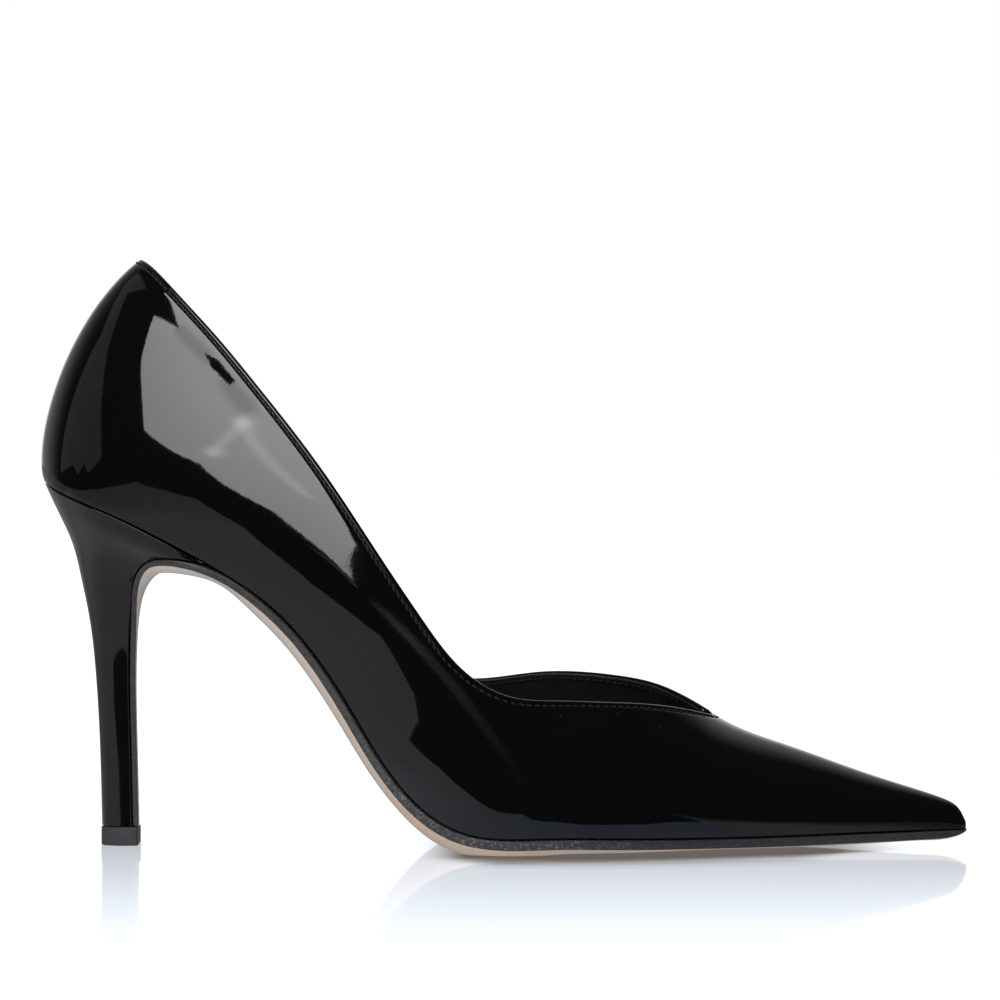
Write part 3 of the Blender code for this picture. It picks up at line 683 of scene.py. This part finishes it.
sock_line = sock_inner + across[..., None] * (sock_outer - sock_inner)
sock_top = sock_line - top_lift[..., None] * sock_down
sock_low = sock_line - INSOLE_LIFT * sock_down
sock_ring = np.concatenate([sock_top, sock_low[::-1], sock_top[:1]]).transpose(1, 0, 2)
sock = add_piece("sock", [(sock_ring, grid_quads(*sock_ring.shape[:2]))], sock_finish())
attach(sock, "root")
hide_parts("insole")

# Outsole: one leather sole from the toe along the arch and down the heel's breast as a flap, its edge
# trimmed upright and inked black, its underside left in nude leather with a skived crown.
SOLE_COLUMNS = ("x", "z", "half_i", "half_o", "axis", "edge", "crown")
FLAP_ROWS = (
    (-91.9, 4.9, 4.2, 4.2, 0.0, 1.35, 0.03),
    (-92.3, 24.0, 4.2, 4.2, 0.0, 1.35, 0.03),
    (-92.6, 44.0, 4.9, 4.9, 0.0, 1.4, 0.05),
    (-92.2, 58.0, 6.9, 6.9, 0.0, 1.45, 0.4),
    (-91.0, 66.0, 11.4, 11.4, 0.0, 1.45, 1.2),
    (-87.6, 70.6, 16.0, 16.0, 0.0, 1.45, 1.9),
    (-82.5, 71.6, 19.6, 19.8, 0.0, 1.6, 1.8),
    (-76.5, 70.8, 21.0, 22.2, 0.0, 1.7, 1.5),
)
FLAP_TURN = (0.6, 0.6, 0.6, 0.5, 0.3, 0.1, 0.0, 0.0)    # how far its outer edge sits behind its inner edge
ARCH_START = -69.0
ARCH_ROWS = 24
TOE_DROP = 0.1          # how much lower the sole lies at the toe point
SOLE_MARGIN = 0.3       # how far it stands out past the foot line
TOE_TRIM = 0.6          # part of that margin trimmed off at the toe point
TOE_POWER = 8           # how late along the sole both set in
GAP = 0.3               # room under the foot line for the sole and the heel
SOLE_DEPTH = ((-69.0, 1.8, 1.0), (-54.0, 1.9, 2.1), (-38.0, 2.0, 2.0), (-23.5, 2.1, 1.9), (-9.0, 2.3, 2.6),
              (9.0, 2.3, 1.7), (29.0, 2.3, 1.0), (50.0, 2.2, 0.5), (90.0, 2.1, 0.5), (106.0, 1.9, 0.4),
              (110.0, 1.7, 0.4), (112.5, 1.2, 0.3), (114.2, 0.6, 0.2), (115.0, 0.2, 0.1))
CROWN_RUN = 5.0
CROWN_POWER = 2.36
EDGE_ROUND = 0.3
INNER_LIFT = 0.27
SOLE_STATIONS = 300
EDGE_STEPS = 9
CROWN_STEPS = 14
FLAT_STEPS = 8


def station_of(foot_x):
    """Place along the shoe where the foot line reaches foot_x."""
    along = np.linspace(0, 1, 2001)
    return np.interp(foot_x, handles_at(along)[:, 0, 0], along)


def sole_sides():
    """Upper corners of the sole's edge and its edge and crown heights at each station, on both sides:
    the flap's rows, then the foot line, joined by one smooth curve round the toe."""
    flap = columns(SOLE_COLUMNS, FLAP_ROWS)
    ahead = np.linspace(0, 1, ARCH_ROWS)
    arch_start = station_of(ARCH_START)
    along = arch_start + (1 - arch_start) * (1 - (1 - ahead) ** 1.3)
    margin = SOLE_MARGIN * (1 - TOE_TRIM * ahead ** TOE_POWER)
    inner, outer = foot_line(along, margin), foot_line(2 - along, margin)
    down = path_down(inner, outer)
    room = (GAP + TOE_DROP * ahead ** TOE_POWER)[:, None]
    flap_inner = np.stack([flap["x"], flap["axis"] - flap["half_i"], flap["z"]], 1)
    flap_outer = np.stack([flap["x"] - FLAP_TURN, flap["axis"] + flap["half_o"], flap["z"]], 1)
    inner = np.concatenate([flap_inner, inner + room * down])
    outer = np.concatenate([flap_outer, outer + room * down])
    depth = np.array(SOLE_DEPTH)
    arch = smooth(depth[:, 0], depth[:, 1:], inner[len(FLAP_ROWS):, 0])
    depth = np.concatenate([np.column_stack([flap["edge"], flap["crown"]]), arch])
    knots = (run_length(inner) + run_length(outer)) / 2
    total = knots[-1]
    around = np.concatenate([knots, 2 * total - knots[-2::-1]])
    values = np.concatenate([np.column_stack([inner, depth]), np.column_stack([outer, depth])[-2::-1]])
    at = total * (1 - (1 - np.linspace(0, 1, SOLE_STATIONS + 1)) ** 1.15)
    return smooth(around, values, at), smooth(around, values, 2 * total - at)


def half_section(side, inward, down):
    """Half of the sole's sections from the top face to the bottom's flat: an upright edge with both corners
    eased, then the crown, which deepens by a power of the way in. Also each point's way past the edge."""
    edge_share = np.linspace(0, 1, EDGE_STEPS)
    ease = EDGE_ROUND * np.abs(2 * edge_share - 1) ** 5
    crown_share = np.linspace(0, 1, CROWN_STEPS + 1)[1:] ** 1.5
    crown = 1 - (1 - crown_share) ** CROWN_POWER
    edge_depth = side[:, 3:4] * edge_share
    crown_depth = side[:, 3:4] + side[:, 4:5] * crown
    reach = np.linalg.norm(inward, axis=1)[:, None]
    crown_run = (reach - EDGE_ROUND) * crown_share
    depth = np.concatenate([edge_depth[:, :1] - INNER_LIFT, edge_depth, crown_depth], 1)
    way_in = np.concatenate([0.8 * reach, ease + 0 * reach, EDGE_ROUND + crown_run], 1)
    past_edge = np.concatenate([-edge_depth[:, :1] - 9, edge_depth - side[:, 3:4], crown_run], 1)
    points = side[:, None, :3] + depth[..., None] * down[:, None]
    return points + way_in[..., None] * unit(inward)[:, None], past_edge


def sole_finish():
    """Nude sole leather with fine fibres and faint clouds, painted paler towards the heel as painted light,
    and black edge ink that stops at the lower corner: scuffed along it, with pale specks of painted
    highlight at the ball, and painted darker towards the toe as painted shade."""
    look, shader, place = new_finish("sole_finish", IOR=1.45, Specular_IOR_Level=0.45)
    past_edge = place.node("ShaderNodeAttribute", {"attribute_name": "past_edge"}, None, "Fac")
    drawn_out = place.node("ShaderNodeMapping", None, {"Vector": place, "Scale": (0.35, 1.0, 1.0)})
    fibres = drawn_out.noise(900.0, 5.0)
    cloud = place.noise(90.0, 4.0)
    ink = 1 - (past_edge + 0.16 * place.noise(500.0, 2.0)).ramp(0.0, 0.14)
    leather = cloud.blend((0.60, 0.46, 0.355, 1), (0.70, 0.55, 0.44, 1))
    leather = (0.45 * fibres).blend(leather, (0.48, 0.36, 0.28, 1))
    along = place.axis("X")
    # Painted light: the nude leather is painted paler towards the heel.
    painted_light_to_heel = 0.8 - 0.8 * along.ramp(-0.085, -0.010)
    leather = painted_light_to_heel.blend(leather, (0.70, 0.65, 0.615, 1))
    # Pale specks along the ink: scuffs, and thicker at the ball a painted highlight of the light on the
    # edge.
    at_ball = along.ramp(-0.05, -0.01) * (1 - along.ramp(0.01, 0.05))
    scuffs_and_glint = place.noise(1500.0, 3.0, 0.65).ramp(0.50, 0.70) * (0.15 + 0.85 * at_ball)
    inked = fibres.blend((0.027, 0.027, 0.028, 1), (0.058, 0.058, 0.060, 1))
    # Painted shade: the edge ink is darker towards the toe.
    inked = (0.5 * along.ramp(0.0, 0.06)).blend(inked, (0.014, 0.014, 0.015, 1))
    inked = scuffs_and_glint.blend(inked, (0.15, 0.15, 0.155, 1))
    feed(shader, Base_Color=ink.blend(leather, inked), Roughness=0.5 - 0.2 * ink + 0.12 * fibres,
         Normal=(fibres + 0.4 * cloud).bump(0.00005))
    return look


sole_inner, sole_outer = sole_sides()
sole_down = path_down(sole_inner, sole_outer)
sole_width = np.linalg.norm(sole_outer[:, :3] - sole_inner[:, :3], axis=1)
sole_inward = np.maximum(np.minimum(CROWN_RUN, 0.3 * sole_width), 1e-3)[:, None] * np.array([0.0, 1.0, 0.0])
inner_half, inner_past = half_section(sole_inner, sole_inward, sole_down)
outer_half, outer_past = half_section(sole_outer, -sole_inward, sole_down)
flat_share = np.linspace(0, 1, FLAT_STEPS + 2)[1:-1, None]
bottom = inner_half[:, None, -1] + flat_share * (outer_half[:, None, -1] - inner_half[:, None, -1])
sole_ring = np.concatenate([inner_half, bottom, outer_half[:, ::-1], inner_half[:, :1]], 1)
sole_ring[..., 2] = np.maximum(sole_ring[..., 2], 0.0)
bottom_past = np.full(bottom.shape[:2], CROWN_RUN)
sole_past = np.concatenate([inner_past, bottom_past, outer_past[:, ::-1], inner_past[:, :1]], 1)
flap_end = np.stack([sole_ring[0], np.broadcast_to(sole_ring[0].mean(0), sole_ring[0].shape)])
flap_past = np.concatenate([sole_past[0], np.full(len(sole_past[0]), CROWN_RUN)])
sole = add_piece("leather_sole", [
    (sole_ring, grid_quads(*sole_ring.shape[:2])[:, ::-1]),
    (flap_end, grid_quads(*flap_end.shape[:2])),
], sole_finish(), {"past_edge": np.concatenate([sole_past.ravel(), flap_past])})
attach(sole, "root")
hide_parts("outsole")

# Heel: a slim moulded heel covered in the same patent leather, its seat cupped to the foot line, its
# breast closed by the sole's flap. Sections run from the tip to the seat.
HEEL_COLUMNS = ("back_x", "back_z", "front_x", "front_z", "half", "widest", "corner")
HEEL_ROWS = (
    (-100.0, 4.9, -92.2, 4.9, 4.3, 0.60, 0.96),
    (-100.5, 24.0, -92.6, 24.0, 4.3, 0.60, 0.96),
    (-101.5, 42.0, -92.9, 40.0, 4.9, 0.60, 0.96),
    (-103.2, 57.0, -92.7, 53.0, 6.6, 0.60, 0.95),
    (-105.2, 67.0, -92.0, 62.0, 9.4, 0.60, 0.95),
    (-107.6, 76.2, -90.3, 68.3, 13.8, 0.60, 0.95),
    (-110.0, 81.6, -86.4, 71.4, 18.2, 0.60, 0.96),
    (-112.1, 86.0, -80.8, 71.9, 21.6, 0.58, 0.96),
)
HEEL_FRONT = -73.6
BACK_SHARE = 0.7
HEEL_LEVELS = 150
HEEL_STEPS = 60
BREAST_ROUND = 0.25
SEAT_ROUND = 0.7
SEAT_RIM = 5.0          # width of the seat's rim inside its edge, and its gap below the foot line
SEAT_GAP = 0.03


def heel_section(row, share):
    """Half outline of one heel section from its back centre to its front corner: a quarter ellipse, then a
    straight run that narrows by a square."""
    turn = np.minimum(share / BACK_SHARE, 1) * np.pi / 2
    ahead = np.maximum(share - BACK_SHARE, 0) / (1 - BACK_SHARE)
    run = row["widest"] * (1 - np.cos(turn)) + (1 - row["widest"]) * ahead
    half = row["half"] * (np.sin(turn) - (1 - row["corner"]) * ahead ** 2)
    x = row["back_x"] + (row["front_x"] - row["back_x"]) * run
    z = row["back_z"] + (row["front_z"] - row["back_z"]) * run
    return np.stack([x, half, z], 1)


def heel_rings():
    """Rings of the heel: sections on a smooth curve up it, through the table's rows and the foot line."""
    share = np.linspace(0, 1, HEEL_STEPS + 1)
    rows = [dict(zip(HEEL_COLUMNS, row)) for row in HEEL_ROWS]
    halves = [heel_section(row, share) for row in rows]
    front = station_of(HEEL_FRONT)
    inner = [half * (1, -1, 1) for half in halves] + [handles_at(front * share)[:, 0] - (0, 0, GAP)]
    outer = halves + [handles_at(2 - front * share)[:, 0] - (0, 0, GAP)]
    sections = np.concatenate([np.stack(inner), np.stack(outer)[:, ::-1]], 1)
    rise = run_length(sections.mean(1))
    levels = np.linspace(0, rise[-1], HEEL_LEVELS + 1)
    return smooth(rise, sections.reshape(len(rise), -1), levels).reshape(len(levels), -1, 3)


def eased_corner(rings, corner, before, after, radius):
    """Short curves in place of one corner point of each ring, between points radius away on its sides."""
    point = rings[:, corner]
    start = point + radius * unit(rings[:, before] - point)
    end = point + radius * unit(rings[:, after] - point)
    bend = parabola(start, point, end, np.linspace(0, 1, 6)[:, None, None])
    return bend.transpose(1, 0, 2)


heel_ring = heel_rings()
front = HEEL_STEPS
inner_bend = eased_corner(heel_ring, front, front - 1, front + 1, BREAST_ROUND)
outer_bend = eased_corner(heel_ring, front + 1, front + 2, front, BREAST_ROUND)[:, ::-1]
heel_ring = np.concatenate([heel_ring[:, :front], inner_bend, outer_bend, heel_ring[:, front + 2:]], 1)
seat = heel_ring[-1]
seat_middle = seat.mean(0)
seat_in = unit((seat_middle - seat) * (1, 1, 0))
below_seat = seat + SEAT_ROUND * unit(heel_ring[-3] - seat)
seat_roll = parabola(below_seat, seat, seat + SEAT_ROUND * seat_in, np.linspace(0, 1, 9)[:, None, None])
seat_cap = seat + SEAT_RIM * seat_in
seat_cap[:, 2] = foot_height(seat_cap[:, 0]) - SEAT_GAP
heel_ring = np.concatenate([heel_ring[:-1], seat_roll, seat_cap[None]])
heel_ring = np.concatenate([heel_ring, heel_ring[:, :1]], 1)
heel = add_piece("covered_heel", [(heel_ring, grid_quads(*heel_ring.shape[:2])[:, ::-1])],
                 patent_finish("heel_cover_finish", PATENT_BLACK, 0.10))
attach(heel, "root")
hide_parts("heel")

# Heel tip: a small top piece of dark grey rubber, pinned under the heel and as long as heel and flap,
# with its walking edge a little eased.
TIP_HEIGHT = 4.6
TIP_PROUD = 0.15        # how far it stands out past the heel at the back and sides
TIP_AHEAD = 1.2         # its front from the flap's back face
TIP_ROUND = 0.4
TIP_LEVELS = ((0.0, 0.90), (0.0, 0.955), (0.12, 0.985), (0.35, 1.0), (2.4, 1.0), (TIP_HEIGHT - 0.3, 1.0),
              (TIP_HEIGHT - 0.08, 0.985), (TIP_HEIGHT, 0.96))


def rubber_finish():
    """Moulded rubber: dark grey, a fine stipple and a slightly cloudy dull face."""
    look, shader, place = new_finish("rubber_finish", IOR=1.5, Specular_IOR_Level=0.35)
    cloud = place.noise(300.0, 3.0)
    stipple = place.noise(3500.0, 2.0)
    feed(shader, Base_Color=cloud.blend((0.034, 0.035, 0.037, 1), (0.052, 0.053, 0.055, 1)),
         Roughness=0.5 + 0.2 * cloud, Normal=stipple.bump(0.00002))
    return look


tip_row = dict(zip(HEEL_COLUMNS, HEEL_ROWS[0]))
tip_row.update(back_x=tip_row["back_x"] - TIP_PROUD, front_x=FLAP_ROWS[0][0] + TIP_AHEAD,
               half=tip_row["half"] + TIP_PROUD)
tip_half = heel_section(tip_row, np.linspace(0, 1, HEEL_STEPS + 1))
tip_outline = np.concatenate([tip_half * (1, -1, 1), tip_half[::-1]])
tip_corner = tip_outline[None]
tip_bend = eased_corner(tip_corner, front, front - 1, front + 1, TIP_ROUND)[0]
tip_mirror = eased_corner(tip_corner, front + 1, front + 2, front, TIP_ROUND)[0, ::-1]
tip_outline = np.concatenate([tip_outline[:front], tip_bend, tip_mirror, tip_outline[front + 2:]])
tip_middle = tip_outline.mean(0) * (1, 1, 0)
levels = np.array(TIP_LEVELS)
tip_levels = np.concatenate([[[0.0, 0.0]], levels, [[TIP_HEIGHT, 0.0]]])
tip_ring = tip_middle + (tip_outline * (1, 1, 0) - tip_middle) * tip_levels[:, 1, None, None]
tip_ring[..., 2] = tip_levels[:, :1]
tip_ring = np.concatenate([tip_ring, tip_ring[:, :1]], 1)
tip = add_piece("heel_top_piece", [(tip_ring, grid_quads(*tip_ring.shape[:2])[:, ::-1])], rubber_finish())
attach(tip, "root")
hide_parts("heel_tip")

# Floor: a pale glossy table top that runs out white in every direction, mirrors the shoe faintly close by
# and carries a painted contact shade where the ball and the heel tip stand on it. The lacquer mirrors the
# table card below instead.
FLOOR_REACH = 30.0
FLOOR_WHITE = (1.16, 1.22, 1.31, 1)     # as the camera sees it
FLOOR_BOUNCE = (0.62, 0.62, 0.63, 1)    # as it lights the matt parts
FLOOR_DARK = (0.03, 0.03, 0.03, 1)      # as the lacquer mirrors it
FLOOR_SHADE = (0.03, 0.03, 0.031, 1)    # contact shade at its darkest
SHADE_REACH = 0.034                     # how near the shoe has to be to shade it
SHADE_RAMP = (0.71, 0.95)               # openness above it from full shade to none
MIRROR_FADE = 3.45                      # loss of its mirror to the metre across the shoe
MIRROR_ENDS = (0.16, 0.40)              # distances along the shoe over which the mirror ends
floor_corners = [(x * FLOOR_REACH, y * FLOOR_REACH, 0.0) for x, y in ((-1, -1), (1, -1), (1, 1), (-1, 1))]
floor_mesh = bpy.data.meshes.new("floor")
floor_mesh.from_pydata(floor_corners, [], [(0, 1, 2, 3)])
floor = add_object("floor", floor_mesh)
floor_look = bpy.data.materials.new("floor_finish")
floor_look.use_nodes = True
floor_tree = floor_look.node_tree
floor_tree.nodes.remove(floor_tree.nodes["Principled BSDF"])
start = Socket(floor_tree, None)
place = start.node("ShaderNodeTexCoord", None, None, "Object")
off_axis = start.math("ABSOLUTE", place.axis("Y"))
seen = start.node("ShaderNodeLightPath", None, None, "Is Camera Ray")
mirrored = start.node("ShaderNodeLightPath", None, None, "Is Glossy Ray")
along = place.axis("X")
under_arch = (0.8 + 0.2 * along.ramp(-0.080, -0.070)) * (1 - along.ramp(-0.022, -0.008))
open_above = start.node("ShaderNodeAmbientOcclusion", {"samples": 8}, {"Distance": SHADE_REACH}, "AO")
thin = 0.35 * (1 - along.ramp(-0.030, 0.0) + along.ramp(0.070, 0.100))
under_toe = along.ramp(0.080, 0.105)
lit = start.math("MAXIMUM", (open_above + thin).ramp(*SHADE_RAMP), under_arch + under_toe)
white = lit.blend(FLOOR_SHADE, FLOOR_WHITE)
glow = start.node("ShaderNodeEmission", None, {
    "Color": seen.blend(mirrored.blend(FLOOR_BOUNCE, FLOOR_DARK), white)})
mirror = start.node("ShaderNodeBsdfGlossy", None, {"Color": (1, 1, 1, 1), "Roughness": 0.05})
past_ends = start.math("ABSOLUTE", along).ramp(*MIRROR_ENDS)
fade = start.math("MAXIMUM", 1.0 - MIRROR_FADE * off_axis, 0.0) * (1 - past_ends)
gloss = start.node("ShaderNodeFresnel", None, {"IOR": 1.45}) * fade * seen * (0.65 + 0.35 * lit)
surface = start.node("ShaderNodeMixShader", None, {0: gloss, 1: glow, 2: mirror})
floor_tree.links.new(surface.out, floor_tree.nodes["Material Output"].inputs["Surface"])
floor_mesh.materials.append(floor_look)

# Light: a dim studio whose white backdrop fades upwards, soft boxes for the matt parts, and cards that only
# the lacquer mirrors: a bright key beside the heel, grey ones behind and beside it, the lit table top, and
# black flags that keep a patch of the key, the arch and the heel's side dark.
world = bpy.data.worlds.new("studio")
bpy.context.scene.world = world
world.use_nodes = True
world_tree = world.node_tree
start = Socket(world_tree, None)
direction = start.node("ShaderNodeTexCoord", None, None, "Generated")
sideways, back, height = (direction.axis(name) for name in "XYZ")
seen = start.node("ShaderNodeLightPath", None, None, "Is Camera Ray")
past_toe = (sideways - 0.6 * height).ramp(0.1, 0.35)
past_heel = (0 - sideways).ramp(0.13, 0.6)
backdrop = (0.03 + 0.85 * back.ramp(0.2, 0.75) * (1 - 0.6 * height.ramp(0.15, 0.6))
            * (1 - past_toe) * (1 - 0.65 * past_heel))
sky = start.node("ShaderNodeBackground", None, {
    "Color": seen.blend(backdrop.blend((0, 0, 0, 1), (1, 1, 1, 1)), (1, 1, 1, 1))})
world_tree.links.new(sky.out, world_tree.nodes["World Output"].inputs["Surface"])


def soft_box(name, place, size, power):
    """A rectangular area light at place, turned to the shoe, which is neither seen nor mirrored."""
    lamp = bpy.data.lights.new(name, "AREA")
    lamp.shape = "RECTANGLE"
    lamp.size = size[0]
    lamp.size_y = size[1]
    lamp.energy = power
    made = add_object(name, lamp)
    made.location = place
    to_shoe = Vector((0.0, 0.0, 0.06)) - Vector(place)
    made.rotation_euler = to_shoe.to_track_quat("-Z", "Y").to_euler()
    made.visible_camera = False
    made.visible_glossy = False


def card(name, corners, look):
    """A flat card with its corners in millimetres, which is only mirrored in the shoe and casts nothing."""
    mesh = bpy.data.meshes.new(name)
    mesh.from_pydata((np.array(corners) * MM).tolist(), [], [tuple(range(len(corners)))])
    mesh.materials.append(look)
    made = add_object(name, mesh)
    made.visible_camera = False
    made.visible_diffuse = False
    made.visible_shadow = False


def glowing(name):
    """A material that glows on its front and is clear from behind, then its emission shader, then its
    Object coordinates."""
    look = bpy.data.materials.new(name)
    look.use_nodes = True
    tree = look.node_tree
    tree.nodes.remove(tree.nodes["Principled BSDF"])
    shader = tree.nodes.new("ShaderNodeEmission")
    start = Socket(tree, None)
    behind = start.node("ShaderNodeNewGeometry", None, None, "Backfacing")
    clear = start.node("ShaderNodeBsdfTransparent")
    glow = Socket(tree, shader.outputs[0])
    surface = start.node("ShaderNodeMixShader", None, {0: behind, 1: glow, 2: clear})
    tree.links.new(surface.out, tree.nodes["Material Output"].inputs["Surface"])
    return look, shader, start.node("ShaderNodeTexCoord", None, None, "Object")


soft_box("key_box", (-0.30, -0.95, 0.55), (0.5, 0.7), 9.0)
soft_box("top_box", (0.10, -0.20, 1.10), (1.2, 0.4), 9.0)
soft_box("far_box", (-0.25, 0.80, 0.75), (0.4, 0.5), 5.0)

KEY_DISTANCE = -100.0
KEY_OUTLINE = ((-160, 290), (-105, 200), (-155, 240), (-145, 195), (-120, 130), (-80, 100), (-65, 70),
               (-65, 50), (-45, 75), (-30, 120), (-30, 160), (-60, 215), (-140, 320))
KEY_FLAG = ((-80, 176), (-71, 171), (-62, 158), (-65, 155), (-75, 166))
KEY_LAMPS = (((-59, 134), (-58, 134)), ((-74, 110), (-73, 110)))
KEY_RIBS = (((-59, 134), (-74, 110)), ((-59, 134), (-50, 96)))
KEY_FOLDS = (((-105, 200), (-79, 174)), ((-66, 157), (-57, 143)))
# What each kind of line adds to the key's brightness, and its half width in metres
KEY_LINES = ((KEY_LAMPS, 0.26, 0.008), (KEY_RIBS, 0.22, 0.005), (KEY_FOLDS, -0.28, 0.008))
KEY_RISE = (0.82, 0.0, 0.57)    # the direction in which the key grows brighter
KEY_GLOW = 9.5


def on_key(point):
    """A point of the key card in metres."""
    return point[0] * MM, KEY_DISTANCE * MM, point[1] * MM


def beside_line(place, ends, half):
    """1 on the line between two points of the key card, fading softly to 0 at the distance half."""
    first, last = (np.array(on_key(end)) for end in ends)
    run = last - first
    from_first = place.node("ShaderNodeVectorMath", {"operation": "SUBTRACT"}, {0: place, 1: first})
    share = from_first.node("ShaderNodeVectorMath", {"operation": "DOT_PRODUCT"},
                            {0: from_first, 1: run / (run @ run)}, "Value")
    share = share.math("MINIMUM", share.math("MAXIMUM", share, 0.0), 1.0)
    nearest = share.node("ShaderNodeVectorMath", {"operation": "SCALE"}, {0: run, "Scale": share})
    gap = share.node("ShaderNodeVectorMath", {"operation": "DISTANCE"},
                     {0: from_first, 1: nearest}, "Value")
    return 1 - gap.ramp(0.0, half)


key_look, key_shader, place = glowing("key_glow")
rise = place.node("ShaderNodeVectorMath", {"operation": "DOT_PRODUCT"}, {0: place, 1: KEY_RISE}, "Value")
bright = 0.35 * rise.ramp(-0.03, 0.07)
for lines, gain, half in KEY_LINES:
    for ends in lines:
        bright = bright + gain * beside_line(place, ends, half)
feed(key_shader, Color=bright.blend((0.40, 0.40, 0.40, 1), (1.0, 1.0, 1.0, 1)))
key_shader.inputs["Strength"].default_value = KEY_GLOW
card("key_card", [(x, KEY_DISTANCE, z) for x, z in KEY_OUTLINE[::-1]], key_look)
flag_look, flag_shader, _ = glowing("flag_glow")
flag_shader.inputs["Color"].default_value = FLOOR_DARK
card("key_flag", [(x, KEY_DISTANCE + 0.5, z) for x, z in KEY_FLAG], flag_look)

HEEL_CARD = ((0, 100), (0, 200), (60, 245), (60, 270), (-45, 285), (10, 245), (-15, 230), (-40, 205),
             (-120, 130), (-85, 110), (-70, 118), (-55, 105), (-40, 112))
heel_look, heel_shader, _ = glowing("heel_card_glow")
heel_shader.inputs["Color"].default_value = (0.25, 0.25, 0.25, 1)
card("heel_card", [(-200, y, z) for y, z in HEEL_CARD], heel_look)

SIDE_CARD = ((-3000, 0), (-3000, 90), (-125, 90), (-100, 72), (-85, 56), (-75, 45), (-75, 0))
side_look, side_shader, place = glowing("side_glow")
height = place.axis("Z")
feed(side_shader, Color=height.ramp(0.0, 0.09).blend((0.47, 0.47, 0.49, 1), (0.30, 0.30, 0.31, 1)))
card("side_card", [(x, -125, z) for x, z in SIDE_CARD], side_look)
ARCH_FLAG = ((-70, 42), (-71, 62), (-78, 76), (-74, 80), (-58, 66), (-50, 57), (40, 45), (40, 1), (-9, 2),
             (-26, 10), (-48, 17), (-73, 18), (-51, 30), (-45, 38), (-52, 46))
HEEL_FLAG = ((-96, 0), (-97, 20), (-99, 27), (-101, 34), (-100, 42), (-98, 44), (-95, 45), (-91, 43),
             (-91, 0))
card("arch_flag", [(x, -60, z) for x, z in ARCH_FLAG], flag_look)
card("heel_flag", [(x, -20, z) for x, z in HEEL_FLAG], flag_look)

TABLE_LIGHT = ((-29000, 29000), (-29000, -125), (-75, -125), (-20, -112), (5, -55), (20, -50), (45, -52),
               (80, -75), (900, -1300), (900, 120), (-60, 150), (-60, 29000))
table_look, table_shader, place = glowing("table_glow")
along, deep = (place.axis(name) for name in "XY")
close = (1 - place.math("ABSOLUTE", deep).ramp(0.03, 0.08)) * along.ramp(-0.105, -0.085)
behind_ball = close.blend((0.46, 0.46, 0.48, 1), (0.52, 0.56, 0.62, 1))
under_ball = close.blend((0.25, 0.28, 0.34, 1), (0.30, 0.37, 0.48, 1))
ahead = along.ramp(-0.05, 0.03).blend(behind_ball, under_ball)
ahead = along.ramp(0.05, 0.10).blend(ahead, (0.36, 0.37, 0.39, 1))
ahead = along.ramp(0.09, 0.125).blend(ahead, (0.15, 0.15, 0.16, 1))
feed(table_shader, Color=deep.ramp(0.02, 0.15).blend(ahead, (0.26, 0.26, 0.27, 1)))
card("table_light", [(x, y, 0.2) for x, y in TABLE_LIGHT], table_look)

# Camera: a metre from the shoe with a long lens, about as high as the back of its foot line and tilted down
# by a fraction of a degree, so that the shoe stands in the picture as in the photograph.
CAMERA_PLACE = (-0.0007, -1.00125, 0.0924)
CAMERA_TILT = 0.361     # in degrees
lens = bpy.data.cameras.new("camera")
lens.lens = 144.0
lens.sensor_width = 36.0
lens.clip_end = 100.0
camera = add_object("camera", lens)
camera.location = CAMERA_PLACE
camera.rotation_euler = (np.radians(90 - CAMERA_TILT), 0.0, 0.0)
bpy.context.scene.camera = camera
bpy.context.scene.view_settings.view_transform = "Standard"
